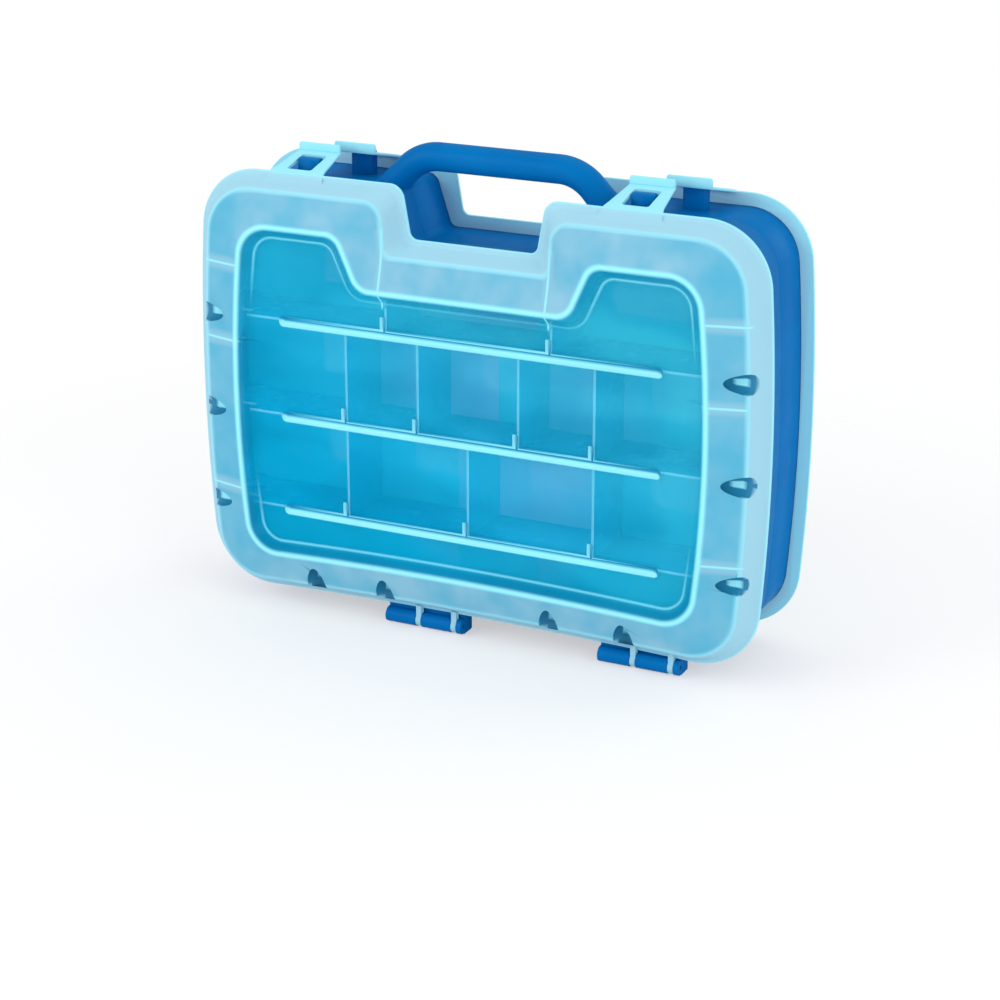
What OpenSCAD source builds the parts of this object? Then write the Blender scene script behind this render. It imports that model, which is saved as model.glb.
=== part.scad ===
// Double-sided tackle satchel: a blue centre body with a tray on each face, a moulded-in
// carrying handle, and two frosted lids that hinge at the foot and snap shut at the shoulders.
// X runs along the handle, Y through the depth with the front at -Y, Z up.
// The origin is on the floor below the middle of the case. All sizes are in millimetres.

/* [Case] */
// Width over the lid rims, at mid height
case_w = 434; // [400:1:460]
// Height of the lid shoulders above the floor
shoulder_h = 322; // [305:1:345]
// Depth of the centre body, from lid seam to lid seam
body_d = 78; // [66:1:90]
// Height of the lid rims above the floor at their lower corners
rim_lift = 12.6; // [11.5:0.1:16]
// How far the sides bow outwards between the corners
side_bow = 8; // [4:0.5:12]
// How far the foot of the rims arches up in the middle
foot_arch = 3; // [1:0.5:5]
// Corner radius of the lid rims
corner_r = 46; // [36:1:52]
// Step from the lid rims in to the wall of the centre body
body_step = 9.5; // [8:0.5:12]

/* [Valley] */
// Width of the valley floor between the shoulders, at the lid rims
valley_w = 94; // [86:1:104]
// Depth of the valley below the shoulders
valley_drop = 37; // [30:1:44]
// Lean of the valley sides at the rims, in degrees from upright
valley_lean = 10; // [6:1:14]
// Lean of the valley sides of the centre body, which run up into the handle's legs
body_lean = 18; // [14:1:21]

/* [Lids] */
// Wall thickness of a lid
lid_t = 2.2; // [1.8:0.1:2.6]
// Depth of a lid from the seam to its crest
lid_d = 23; // [21:0.5:28]
// Depth from the seam to the rounded outer edge of the border
edge_d = 15; // [13:0.5:17]
// Depth of the panel's recess behind the crest
recess_d = 7; // [5:0.5:8]
// Inset of the rounded outer edge from the rim
edge_in = 10; // [8:0.5:12]
// Width of the border at the sides
border_side = 29; // [24:1:34]
// Width of the border at the top and round the valley
border_top = 26; // [22:1:28]
// Width of the border at the foot
border_foot = 25; // [21:1:30]
// Inset of the panel from the crest
recess_in = 8.5; // [6:0.5:10]
// Thickness of the rim flange
rim_t = 2.2; // [1.6:0.1:3]
// Width of the rim flange outside the lid's wall
rim_lip = 3.6; // [2.5:0.1:4.5]
// Gap between a lid's rim and the centre body
seam_gap = 0.3; // [0.2:0.05:0.5]

/* [Compartments] */
// Height of the lowest long divider above the floor
row_base = 79; // [72:1:84]
// Distance between the long dividers
row_pitch = 70; // [66:1:73]
// Offset of the two short dividers in the top row
split_top = 62.4; // [60:0.2:68]
// Offset of the inner short dividers in the second row
split_inner = 38.3; // [30:0.1:45]
// Offset of the outer short dividers in the second and third rows
split_outer = 94.4; // [86:0.2:110]
// Thickness of a divider
divider_t = 1.8; // [1.4:0.1:2.4]
// Thickness of the wall between the two trays
web_t = 2; // [1.6:0.1:3]
// Thickness of the centre body's outer wall
wall_t = 2.6; // [2.2:0.1:3.2]

/* [Panel channels] */
// Distance of a long channel's ends from the sides of the lid rims
channel_in = 76; // [67:1:97]
// Width of a channel
channel_w = 6.6; // [5:0.2:8]
// Depth of a channel
channel_d = 2.6; // [1.6:0.1:3.2]
// Reach of the short cross channels above a long one
stub_l = 9; // [6:0.5:14]
// Width of a cross channel
stub_w = 3.4; // [2.4:0.2:5]

/* [Handle] */
// Diameter of the handle bar
grip_d = 20; // [16:0.5:24]
// Height of the handle's top above the lid shoulders
grip_rise = 22; // [18:1:30]
// Half the length of the handle's straight grip
grip_half = 45; // [38:1:50]
// Radius of the handle's bends, on the bar's centre line
grip_bend = 34; // [28:1:40]
// Slope of the handle's legs, in degrees below level
leg_slope = 47; // [42:1:55]

/* [Latches and hinges] */
// Distance of a lid's left latch from the left side of its rim, seen from that lid's side
latch_left = 81; // [78:1:84]
// Distance of a lid's right latch from the right side of its rim
latch_right = 102; // [99:1:104]
// Width of a latch strap where it leaves the lid
strap_base = 40; // [34:1:44]
// Width of a latch strap at its tip
strap_tip = 33; // [28:1:34]
// Reach of a latch strap over the centre body
strap_reach = 32; // [30:0.5:33]
// Rise of a latch strap from base to tip
strap_rise = 9; // [7:0.5:11]
// Thickness of a latch strap
strap_t = 2.2; // [1.6:0.1:3]
// Height of the lifting lip at a latch strap's tip
strap_lip = 4.5; // [2:0.5:6]
// Width of the blue catch lug
lug_w = 16; // [12:0.5:18]
// Length of the catch lug, front to back
lug_l = 9; // [7:0.5:10]
// Distance of the catch lug's striking face behind the seam
lug_back = 15; // [14:0.5:16]
// Height of the catch lug above the strap
lug_proud = 2; // [1.5:0.5:4]
// Clearance round the catch lug in the strap's window
lug_gap = 1.6; // [1:0.1:2]
// Distance of the hinge axis in front of the seam
hinge_out = 1.5; // [1:0.1:2.5]
// Distance of a lid's left hinge block from the left side of its rim, middle to side
hinge_left = 178; // [167:1:187]
// Distance of a lid's right hinge block from the right side of its rim, middle to side
hinge_right = 90; // [82:1:102]
// Length of a hinge block
hinge_l = 60; // [50:1:66]
// Outer radius of the hinge knuckles
knuckle_r = 5.5; // [4.8:0.1:5.8]
// Thickness of a lid's knuckle
knuckle_t = 4; // [3:0.2:6]
// Radius of the hinge pins
pin_r = 1.6; // [1.3:0.05:2]
// Running clearance between a pin and a lid's knuckle, on the radius
pin_play = 0.06; // [0.02:0.01:0.1]

/* [Hidden] */

// The finishes: body blue, pin blue, frosted lid, dividers, and the wall between the trays
BLUE = "#1268b8";
PIN = "#0d4f92";
FROST = [0.62, 0.85, 0.95, 0.55];
CLEAR_BLUE = [0.25, 0.72, 0.90, 0.75];
MILKY_BLUE = "#a8d4f2";

// Steps of a corner arc, of a valley arc, and of half the side or foot arc
CORNER_STEPS = 7;
VALLEY_STEPS = 5;
BOW_STEPS = 3;
// Corner radii of the rounded edge, the crest and the panel
EDGE_R = corner_r - 9;
CREST_R = 24;
PANEL_R = 16;
// Overshoot of cutting solids past the faces that they cut
CUT = 1;

SEAM = body_d / 2;
RIM_D = SEAM + seam_gap;
EDGE = SEAM + edge_d;
CREST = SEAM + lid_d;
PANEL = CREST - recess_d;
PANEL_IN = PANEL - lid_t;

// ---- Outlines -----------------------------------------------------------------------------
// An outline is described by its half width, side bow, top, foot, foot arch, corner radius,
// valley half width, valley floor, valley fillet, valley shoulder radius and valley lean.
function outline_of(half, top, foot, corner, valley_half, valley_z, fillet, shoulder, lean) =
    [half, side_bow, top, foot, foot_arch, corner, valley_half, valley_z, fillet, shoulder, lean];

// Points of an arc about c, from angle a0 to a1
function arc(c, r, a0, a1, steps) =
    [for (i = [0:steps]) let (a = a0 + (a1 - a0) * i / steps) c + r * [cos(a), sin(a)]];

// Right half of an outline, from the middle of the foot round to the middle of the valley.
// Every stretch is an arc that meets the next one at a tangent.
function half_outline(o) =
    let (half = o[0], bow = o[1], top = o[2], foot = o[3], arch = o[4], rc = o[5],
         vh = o[6], vz = o[7], rf = o[8], rs = o[9], lean = o[10],
         mid = (top + foot) / 2,
         side_r = (pow((top - foot) / 2, 2) + pow(bow, 2)) / (2 * bow),
         rise = (top - foot) / 2 - rc,
         run = sqrt(pow(side_r - rc, 2) - pow(rise, 2)),
         cx = half - side_r + run,
         tilt = atan2(rise, run),
         foot_sum = (pow(cx, 2) + pow(arch, 2)) / (2 * arch),
         foot_r = foot_sum - rc,
         foot_turn = asin(cx / foot_sum),
         shoulder_x = vh + (top - rs - vz) * tan(lean) + rs / cos(lean),
         fillet_x = vh + rf * tan(lean) - rf / cos(lean))
    concat(
        arc([0, foot + arch - foot_r], foot_r, 90, 90 - foot_turn, BOW_STEPS),
        arc([cx, foot + rc], rc, -90 - foot_turn, -tilt, CORNER_STEPS),
        arc([half - side_r, mid], side_r, -tilt, tilt, 2 * BOW_STEPS),
        arc([cx, top - rc], rc, tilt, 90, CORNER_STEPS),
        arc([shoulder_x, top - rs], rs, 90, 180 - lean, VALLEY_STEPS),
        arc([fillet_x, vz + rf], rf, -lean, -90, VALLEY_STEPS));

// Whole outline, anticlockwise as seen from the front, with the repeated joints left out
function distinct(points) =
    [for (i = [0:len(points) - 1]) if (i == 0 || norm(points[i] - points[i - 1]) > 0.001) points[i]];
function outline(o) =
    let (right = distinct(half_outline(o)), n = len(right))
    concat(right, [for (i = [n - 1:-1:1]) [-right[i][0], right[i][1]]]);

// The outline o moved in from its sides, top, foot and valley, with new bends in the valley
function moved_in(o, side, top, foot, corner, bends, notch) =
    outline_of(o[0] - side, o[2] - top, o[3] + foot, corner, o[6] + notch, o[7] - top,
               bends[0], bends[1], bends[2]);
// The outline o moved in by the same thickness t all round
function thinner(o, t) =
    moved_in(o, t, t, t, max(o[5] - t, 2), [o[8] + t, max(o[9] - t, 2), o[10]], t);
// The outline a share s of the way from a to b
function between(a, b, s) = a * (1 - s) + b * s;

// Bends of each outline in the valley: radius of the fillet at its floor, radius of the shoulder
// above it, and lean of the stretch between them
RIM_BENDS = [6, 11, valley_lean];
EDGE_BENDS = [5, 15, 3];
CREST_BENDS = [14, 13, 24];
PANEL_BENDS = [16, 11, 24];
BODY_BENDS = [6, 9, body_lean];

RIM = outline_of(case_w / 2, shoulder_h, rim_lift, corner_r, valley_w / 2,
                 shoulder_h - valley_drop, RIM_BENDS[0], RIM_BENDS[1], RIM_BENDS[2]);
SHOULDER = moved_in(RIM, edge_in, edge_in - 1, edge_in - 2, EDGE_R, EDGE_BENDS, edge_in + 3);
BORDER = moved_in(SHOULDER, border_side, border_top, border_foot, CREST_R, CREST_BENDS,
                  border_top - 8);
FLOOR = moved_in(BORDER, recess_in, recess_in, recess_in, PANEL_R, PANEL_BENDS, recess_in);
BODY = moved_in(RIM, body_step, body_step, body_step, corner_r - body_step, BODY_BENDS, body_step);
TRAY = thinner(BODY, wall_t);
// How far the centre body's wall plugs into a lid's rim, and the gap that is left round it
PLUG = 1.4;
PLUG_GAP = 0.4;

// ---- Lofts --------------------------------------------------------------------------------
// A loft through rings of [outline, distance in front of the middle], front at -Y
module loft(rings) {
    loops = [for (r = rings) outline(r[0])];
    n = len(loops[0]);
    last = len(rings) - 1;
    polyhedron(
        points = [for (k = [0:last]) for (p = loops[k]) [p[0], -rings[k][1], p[1]]],
        faces = concat(
            [[for (i = [0:n - 1]) i], [for (i = [n - 1:-1:0]) last * n + i]],
            [for (k = [0:last - 1]) for (i = [0:n - 1])
                let (j = (i + 1) % n, a = k * n, b = a + n)
                [b + i, b + j, a + j, a + i]]),
        convexity = 6);
}

// An outline extruded between two distances in front of the middle
module slab(o, from, to)
    translate([0, -from, 0]) rotate([90, 0, 0]) linear_extrude(to - from) polygon(outline(o));

// How far the lofts' end faces lie inside the flat panel that closes them
PANEL_SINK = 0.4;

// Outer skin of a lid: rim flange, side wall, rounded edge, border, crest, recess and panel
WALL_FOOT = between(RIM, SHOULDER, rim_lip / edge_in);
LID_SKIN = [
    [RIM, RIM_D],
    [RIM, RIM_D + rim_t],
    [WALL_FOOT, RIM_D + rim_t + 1],
    [between(WALL_FOOT, SHOULDER, 0.82), EDGE - 3],
    [between(SHOULDER, BORDER, 0.01), EDGE - 0.6],
    [between(SHOULDER, BORDER, 0.08), EDGE + 1],
    [between(SHOULDER, BORDER, 0.22), EDGE + 2.2],
    [between(SHOULDER, BORDER, 0.93), CREST - 0.6],
    [BORDER, CREST],
    [between(BORDER, FLOOR, 0.3), CREST - 0.8],
    [between(BORDER, FLOOR, 0.75), PANEL + 1.6],
    [FLOOR, PANEL - PANEL_SINK]];

// The hollow of a lid: its mouth round the centre body's wall, then one wall thickness inside
LID_HOLLOW = [
    [thinner(BODY, -PLUG_GAP), SEAM - CUT],
    [thinner(BODY, -PLUG_GAP), RIM_D + rim_t],
    [thinner(WALL_FOOT, lid_t), RIM_D + rim_t + 1.6],
    [thinner(between(WALL_FOOT, SHOULDER, 0.82), lid_t), EDGE - 3.6],
    [thinner(between(SHOULDER, BORDER, 0.08), lid_t), EDGE - 1.4],
    [thinner(between(SHOULDER, BORDER, 0.88), lid_t), CREST - lid_t - 0.9],
    [between(BORDER, FLOOR, 0.16), CREST - lid_t - 0.6],
    [thinner(between(BORDER, FLOOR, 0.75), -lid_t * 0.2), PANEL_IN + 0.9],
    [between(BORDER, FLOOR, 0.9), PANEL_IN + PANEL_SINK]];

module lid_skin() { loft(LID_SKIN); }
module lid_hollow() { loft(LID_HOLLOW); }

// ---- Details of a lid ---------------------------------------------------------------------
// Rows of the long dividers, and the short dividers as [offset from the middle, row below]
ROWS = [for (i = [0:2]) row_base + i * row_pitch];
SPLITS = concat(
    [for (x = [-split_outer, 0, split_outer]) [x, 0]],
    [for (x = [-split_outer, -split_inner, split_inner, split_outer]) [x, 1]],
    [for (x = [-split_top, split_top]) [x, 2]]);

CHANNEL_HALF = case_w / 2 - channel_in;
CHANNEL_WALL = 1.6;
CHANNEL_BACK = PANEL - channel_d - CHANNEL_WALL;
DIVIDER_GAP = 0.4;
DIVIDER_TOP = CHANNEL_BACK - DIVIDER_GAP;

// A bar with round ends, lying across the lid between two depths
module bar(x0, x1, z, w, from, to)
    translate([0, -from, z]) rotate([90, 0, 0]) linear_extrude(to - from) {
        translate([x0, -w / 2]) square([x1 - x0, w]);
        for (x = [x0, x1]) translate([x, 0]) circle(d = w, $fn = 24);
    }

// A short upright bar above a long channel
module stub(x, z, w, l, from, to)
    translate([x, -from, z]) rotate([90, 0, 0]) linear_extrude(to - from)
        translate([-w / 2, 0]) square([w, l]);

// The channels pressed into the panel over the dividers, grown by a wall on every side
module channels(from, to, grow) {
    for (z = ROWS) bar(-CHANNEL_HALF, CHANNEL_HALF, z, channel_w + 2 * grow, from, to);
    for (s = SPLITS)
        stub(s[0], ROWS[s[1]], stub_w + 2 * grow, channel_w / 2 + stub_l + grow, from, to);
}

// Heights of the webs that brace the sides, and thickness of a web
WEB_ROWS = [ROWS[0] + 13, (ROWS[1] + ROWS[2]) / 2 + 18, ROWS[2] + 38];
WEB = 1.6;
WEB_FROM = DIVIDER_TOP + 2 * DIVIDER_GAP;

// Webs inside the border: three at each side, and two below the ends of the valley
module lid_webs() {
    for (side = [-1, 1]) {
        for (z = WEB_ROWS)
            translate([side > 0 ? FLOOR[0] - 8 : -RIM[0], -CREST, z - WEB / 2])
                cube([RIM[0] - FLOOR[0] + 8, CREST - WEB_FROM, WEB]);
        translate([side * split_top - WEB / 2, -CREST, FLOOR[7] - 4])
            cube([WEB, CREST - WEB_FROM, RIM[7] - FLOOR[7] + 4]);
    }
}

// Finger dents pressed into the rounded edge, as cones that point in across the border
DENT_R = 8;
DENT_L = 27;
DENT_OUT = 3;
DENT_FEET = [64, 120];
DENT_TIP = 1.5;
module dent(grow)
    cylinder(h = DENT_L + DENT_OUT + grow, r1 = DENT_R + grow, r2 = DENT_TIP + grow, $fn = 32);
module dents(grow) {
    for (side = [-1, 1]) {
        for (z = ROWS)
            translate([side * (SHOULDER[0] + DENT_OUT), -EDGE - 1.5, z]) rotate([0, -side * 90, 0])
                dent(grow);
        for (x = DENT_FEET)
            translate([side * x, -EDGE - 0.5, SHOULDER[3] + foot_arch - DENT_OUT]) dent(grow);
    }
}

// ---- Latches ------------------------------------------------------------------------------
STRAP_ROOT = SEAM + 5;
STRAP_TIP = SEAM - strap_reach;
LUG_FACE = SEAM - lug_back;
// Height of the strap's top face at a distance in front of the middle
function strap_z(d) = RIM[2] + strap_rise * (STRAP_ROOT - d) / (STRAP_ROOT - STRAP_TIP);

// A strap from the lid's rim over the shoulder of the centre body, with a lip to lift it by
module strap() {
    tip_z = strap_z(STRAP_TIP);
    intersection() {
        translate([-strap_base, 0, 0]) rotate([90, 0, 90]) linear_extrude(2 * strap_base) {
            polygon([
                [-STRAP_ROOT, RIM[2] - strap_t - 3], [-RIM_D - 0.6, RIM[2] - strap_t - 0.6],
                [-STRAP_TIP, tip_z - strap_t], [-STRAP_TIP + strap_t, tip_z - strap_t],
                [-STRAP_TIP + strap_t, tip_z + strap_lip], [-STRAP_TIP, tip_z + strap_lip],
                [-STRAP_TIP, tip_z], [-RIM_D, strap_z(RIM_D)], [-STRAP_ROOT, RIM[2] - 4]]);
            translate([-STRAP_TIP + strap_t / 2, tip_z + strap_lip])
                circle(d = strap_t, $fn = 24);
        }
        translate([0, 0, RIM[2] - 20]) linear_extrude(60) polygon([
            [-strap_base / 2 - 3, -STRAP_ROOT], [strap_base / 2 + 3, -STRAP_ROOT],
            [strap_base / 2, -RIM_D], [strap_tip / 2, -STRAP_TIP + strap_t],
            [-strap_tip / 2, -STRAP_TIP + strap_t], [-strap_base / 2, -RIM_D]]);
    }
}

// The window in a strap, with room in front of the lug
WINDOW_FRONT = SEAM - 2.5;
module strap_window() {
    far = LUG_FACE - lug_l - lug_gap;
    translate([-lug_w / 2 - lug_gap, -WINDOW_FRONT, RIM[2] - 8])
        cube([lug_w + 2 * lug_gap, WINDOW_FRONT - far, strap_rise + 12]);
}

// A catch lug on the shoulder, its striking face upright and its back sloped
module lug() {
    top = strap_z(LUG_FACE) + lug_proud;
    base = BODY[2] - wall_t;
    translate([-lug_w / 2, 0, 0]) rotate([90, 0, 90]) linear_extrude(lug_w) polygon([
        [-LUG_FACE, base], [-LUG_FACE + lug_l, base], [-LUG_FACE + lug_l, top - 2],
        [-LUG_FACE + lug_l - 2, top], [-LUG_FACE + 0.8, top], [-LUG_FACE, top - 0.8]]);
}

LATCHES = [latch_left - case_w / 2, case_w / 2 - latch_right];
module at_latches() for (x = LATCHES) translate([x, 0, 0]) children();

// ---- Hinges -------------------------------------------------------------------------------
HINGE_D = SEAM + hinge_out;
HINGE_Z = knuckle_r + 0.7;
HINGES = [hinge_left - case_w / 2, case_w / 2 - hinge_right];
// Places of a lid's knuckles along a hinge block, and clearance at their sides
KNUCKLES = [hinge_l * 13 / 30, hinge_l * 9 / 10];
KNUCKLE_GAP = 0.3;
BLOCK_BACK = 12;
PIN_L = hinge_l - 2;

module at_hinges() for (x = HINGES) translate([x - hinge_l / 2, 0, 0]) children();

// A round bar or bore along the hinge axis, from one place along the block to another
module along_axis(x0, x1, r)
    translate([x0, -HINGE_D, HINGE_Z]) rotate([0, 90, 0]) cylinder(h = x1 - x0, r = r, $fn = 48);

// The blue half of a hinge: a foot under the case with a knuckle along its front
module hinge_block() {
    difference() {
        union() {
            translate([0, -SEAM + 0.3, 0]) cube([hinge_l, BLOCK_BACK, BODY[3] + foot_arch + 1]);
            translate([0, -HINGE_D, HINGE_Z - knuckle_r]) cube([hinge_l, hinge_out + 1, 2 * knuckle_r]);
            along_axis(0, hinge_l, knuckle_r);
        }
        for (x = KNUCKLES) {
            slot = knuckle_t / 2 + KNUCKLE_GAP;
            translate([x - slot, -HINGE_D - knuckle_r - 1, -CUT])
                cube([2 * slot, knuckle_r + 5.4, RIM[3] + CUT]);
            along_axis(x - slot, x + slot, knuckle_r + 0.8);
        }
        along_axis(1, hinge_l + CUT, pin_r);
    }
}

// The frosted half: knuckles that hang from the lid's rim on the hinge axis
module lid_knuckle(x) {
    along_axis(x - knuckle_t / 2, x + knuckle_t / 2, knuckle_r - 0.5);
    translate([x - knuckle_t / 2, -HINGE_D - knuckle_r + 2, HINGE_Z])
        cube([knuckle_t, knuckle_r - 1.2, RIM[3] + foot_arch + 2 - HINGE_Z]);
}

module hinge_pin(x) color(PIN) translate([x - hinge_l / 2, 0, 0]) along_axis(1, 1 + PIN_L, pin_r);

// ---- Pieces -------------------------------------------------------------------------------
// Turns a piece of the front side to the rear side: both sides are the same moulding
module rear() rotate([0, 0, 180]) children();
module both_sides() { children(); rear() children(); }

module lid() color(FROST) difference() {
    union() {
        difference() {
            union() {
                lid_skin();
                at_hinges() for (x = KNUCKLES) lid_knuckle(x);
                at_latches() strap();
            }
            difference() {
                lid_hollow();
                lid_webs();
                dents(lid_t);
            }
        }
        slab(thinner(FLOOR, -1), PANEL_IN, PANEL);
        channels(CHANNEL_BACK, PANEL_IN + CUT, CHANNEL_WALL);
    }
    channels(PANEL - channel_d, PANEL + CUT, 0);
    dents(0);
    at_latches() strap_window();
    at_hinges() for (x = KNUCKLES)
        along_axis(x - knuckle_t, x + knuckle_t, pin_r + pin_play);
}

module front_lid() lid();
module rear_lid() rear() lid();

// Pairs of ribs on the side walls that hold the ends of the long dividers
RIB = 1.4;
RIB_IN = 5;
module end_ribs() for (side = [-1, 1]) for (z = ROWS) for (up = [-1, 1])
    translate([side > 0 ? TRAY[0] - side_bow - RIB_IN : -BODY[0] + wall_t, -SEAM,
               z + up * (divider_t / 2 + 0.1 + RIB / 2) - RIB / 2])
        cube([side_bow + RIB_IN, SEAM, RIB]);

module centre_body() color(BLUE) difference() {
    union() {
        difference() {
            union() {
                slab(BODY, -SEAM - PLUG, SEAM + PLUG);
                both_sides() at_latches() lug();
                both_sides() at_hinges() hinge_block();
            }
            slab(TRAY, -SEAM - PLUG - CUT, SEAM + PLUG + CUT);
            slab(thinner(TRAY, -GROOVE - GROOVE_GAP), -web_t / 2, web_t / 2);
        }
        both_sides() intersection() { end_ribs(); slab(thinner(TRAY, -0.5), web_t / 2, SEAM); }
    }
    for (side = [-1, 1]) handle_tenon(side);
}

// The wall between the two trays, with its edge in a groove round the body's wall
GROOVE = 0.8;
GROOVE_GAP = 0.1;
module centre_partition() color(MILKY_BLUE) slab(thinner(TRAY, -GROOVE), -web_t / 2, web_t / 2);

// The handle's centre line: a straight grip, two bends and two legs down to the shoulders
GRIP_Z = shoulder_h + grip_rise - grip_d / 2;
BEND_Z = GRIP_Z - grip_bend;
LEG_X = grip_half + grip_bend * sin(leg_slope);
LEG_Z = BEND_Z + grip_bend * cos(leg_slope);
LEG_L = (LEG_Z - BODY[2]) / sin(leg_slope) + 1.4 * grip_d;
FOOT_X = LEG_X + (LEG_Z - BODY[2]) / tan(leg_slope);
BEND_STEPS = 6;
LEG_STEPS = 4;
// How much thicker a leg is at its end than the grip
LEG_SWELL = 0.5;
GRIP_SIDES = 28;
// Length, width and depth of a tenon, which ends short of the partition's groove
TENON = [14, 10, wall_t - GROOVE - 2 * GROOVE_GAP];

// Stations from the middle of the grip to the end of a leg: [x, z, heading, swell]
function handle_stations() = concat(
    [for (x = [0, grip_half]) [x, GRIP_Z, 0, 1]],
    [for (i = [1:BEND_STEPS]) let (a = leg_slope * i / BEND_STEPS)
        [grip_half + grip_bend * sin(a), BEND_Z + grip_bend * cos(a), -a, 1]],
    [for (i = [1:LEG_STEPS]) let (s = i / LEG_STEPS)
        [LEG_X + s * LEG_L * cos(leg_slope), LEG_Z - s * LEG_L * sin(leg_slope), -leg_slope,
         1 + LEG_SWELL * s * s]]);

// A ring of the handle round a station
function handle_ring(st) =
    [for (i = [0:GRIP_SIDES - 1]) let (a = 360 * i / GRIP_SIDES, r = grip_d / 2 * st[3])
        [st[0] - sin(st[2]) * r * cos(a), r * sin(a), st[1] + cos(st[2]) * r * cos(a)]];

module handle_bar() {
    right = handle_stations();
    last = len(right) - 1;
    all = concat([for (i = [last:-1:1]) [-right[i][0], right[i][1], -right[i][2], right[i][3]]], right);
    n = GRIP_SIDES;
    polyhedron(
        points = [for (st = all) each handle_ring(st)],
        faces = concat(
            [[for (i = [n - 1:-1:0]) i], [for (i = [0:n - 1]) 2 * last * n + i]],
            [for (k = [0:2 * last - 1]) for (i = [0:n - 1])
                let (j = (i + 1) % n, a = k * n, b = a + n)
                [a + i, a + j, b + j, b + i]]),
        convexity = 4);
}

module handle_tenon(side)
    translate([side * FOOT_X - TENON[0] / 2, -TENON[1] / 2, BODY[2] - TENON[2]])
        cube([TENON[0], TENON[1], TENON[2] + 2]);

module carry_handle() color(BLUE) {
    difference() {
        handle_bar();
        slab(BODY, -SEAM, SEAM);
    }
    for (side = [-1, 1]) handle_tenon(side);
}

// Outline of the space that the dividers of one tray may fill
module tray_space(from, to) slab(thinner(TRAY, 0.1), from, to);

// A long divider across the tray, with slots for the short dividers on both faces
SLOT = 0.5;
// Half the width of a long divider where it stands up into the lid, inside the border
DIVIDER_HEAD = BORDER[0] - 4;
module long_divider(row) color(CLEAR_BLUE) difference() {
    intersection() {
        translate([-case_w / 2, -DIVIDER_TOP, ROWS[row] - divider_t / 2])
            cube([case_w, DIVIDER_TOP - web_t / 2, divider_t]);
        union() {
            tray_space(0, SEAM);
            translate([-DIVIDER_HEAD, -CREST, 0]) cube([2 * DIVIDER_HEAD, CREST, shoulder_h]);
        }
    }
    for (s = SPLITS) if (s[1] == row || s[1] == row - 1)
        translate([s[0] - divider_t / 2, -DIVIDER_TOP - CUT,
                   ROWS[row] + (s[1] == row ? divider_t / 2 - SLOT : -divider_t / 2 - CUT)])
            cube([divider_t, DIVIDER_TOP + 2 * CUT, SLOT + CUT]);
}

// A short divider that stands in the slots above one row
module short_divider(s) color(CLEAR_BLUE) intersection() {
    foot = ROWS[s[1]] + divider_t / 2 - SLOT;
    head = s[1] < 2 ? ROWS[s[1] + 1] - divider_t / 2 + SLOT : shoulder_h;
    translate([s[0] - divider_t / 2, -DIVIDER_TOP, foot])
        cube([divider_t, DIVIDER_TOP - web_t / 2, head - foot]);
    tray_space(0, CREST);
}

centre_body();
centre_partition();
carry_handle();
front_lid();
rear_lid();
hinge_pin(HINGES[0]);  // front_left_hinge_pin
hinge_pin(HINGES[1]);  // front_right_hinge_pin
rear() hinge_pin(HINGES[0]);  // rear_left_hinge_pin
rear() hinge_pin(HINGES[1]);  // rear_right_hinge_pin
for (i = [0:2]) {
    long_divider(i);
    rear() long_divider(i);
}
for (i = [0:8]) {
    short_divider(SPLITS[i]);
    rear() short_divider(SPLITS[i]);
}
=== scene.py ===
"""Double-sided tackle satchel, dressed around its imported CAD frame.

A blue centre body with a tray on each face carries a round handle, and two frosted lids
hinge at its foot. Sizes are in millimetres, as in the part's source, and each mesh is turned
to metres when it is finished. X runs along the handle, Y through the depth with the front
at -Y, and Z up.
"""

import logging
import math
from dataclasses import dataclass, field
from enum import Enum
from typing import Iterable, Optional, Sequence, Union

import bmesh
import bpy
import numpy as np
from mathutils import Matrix, Vector


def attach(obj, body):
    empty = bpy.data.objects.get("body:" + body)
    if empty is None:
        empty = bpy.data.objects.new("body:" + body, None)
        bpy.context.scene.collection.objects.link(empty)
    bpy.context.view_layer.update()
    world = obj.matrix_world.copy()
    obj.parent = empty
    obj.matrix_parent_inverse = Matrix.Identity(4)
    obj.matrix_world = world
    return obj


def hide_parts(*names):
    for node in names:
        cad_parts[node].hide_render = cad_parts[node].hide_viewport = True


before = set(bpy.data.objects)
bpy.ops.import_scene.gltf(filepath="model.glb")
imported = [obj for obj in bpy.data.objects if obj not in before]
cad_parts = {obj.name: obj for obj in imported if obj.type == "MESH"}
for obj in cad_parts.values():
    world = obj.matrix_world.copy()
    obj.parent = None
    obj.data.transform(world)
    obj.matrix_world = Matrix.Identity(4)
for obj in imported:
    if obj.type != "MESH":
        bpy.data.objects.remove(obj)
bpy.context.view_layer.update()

LOG = logging.getLogger("satchel")
MM = 0.001
# Levels of a noise texture between which most of it lies, for wide clouds and for fine wear.
CLOUD_SPREAD = (0.35, 0.65)
WEAR_SPREAD = (0.3, 0.7)

Point = tuple[float, float, float]
Flat = tuple[float, float]
Socket = Union[bpy.types.NodeSocket, float, tuple]


class Side(Enum):
    """The two faces of the case, with the turn about Z that brings the front one there."""

    FRONT = 0.0
    REAR = math.pi

    @property
    def label(self) -> str:
        """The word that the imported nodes' names begin with."""
        return self.name.lower()


# ---- Finishes ---------------------------------------------------------------------------------


def linear(hex_colour: str) -> tuple[float, float, float, float]:
    """Turns an sRGB hex value to the linear colour that a shader takes.

    Args:
        hex_colour: Six hex digits after a hash, such as "#0a5cb4".

    Returns:
        Red, green, blue and an alpha of 1.
    """
    parts = (int(hex_colour[i : i + 2], 16) / 255 for i in (1, 3, 5))
    levels = [c / 12.92 if c <= 0.04045 else ((c + 0.055) / 1.055) ** 2.4 for c in parts]
    return levels[0], levels[1], levels[2], 1.0


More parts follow.
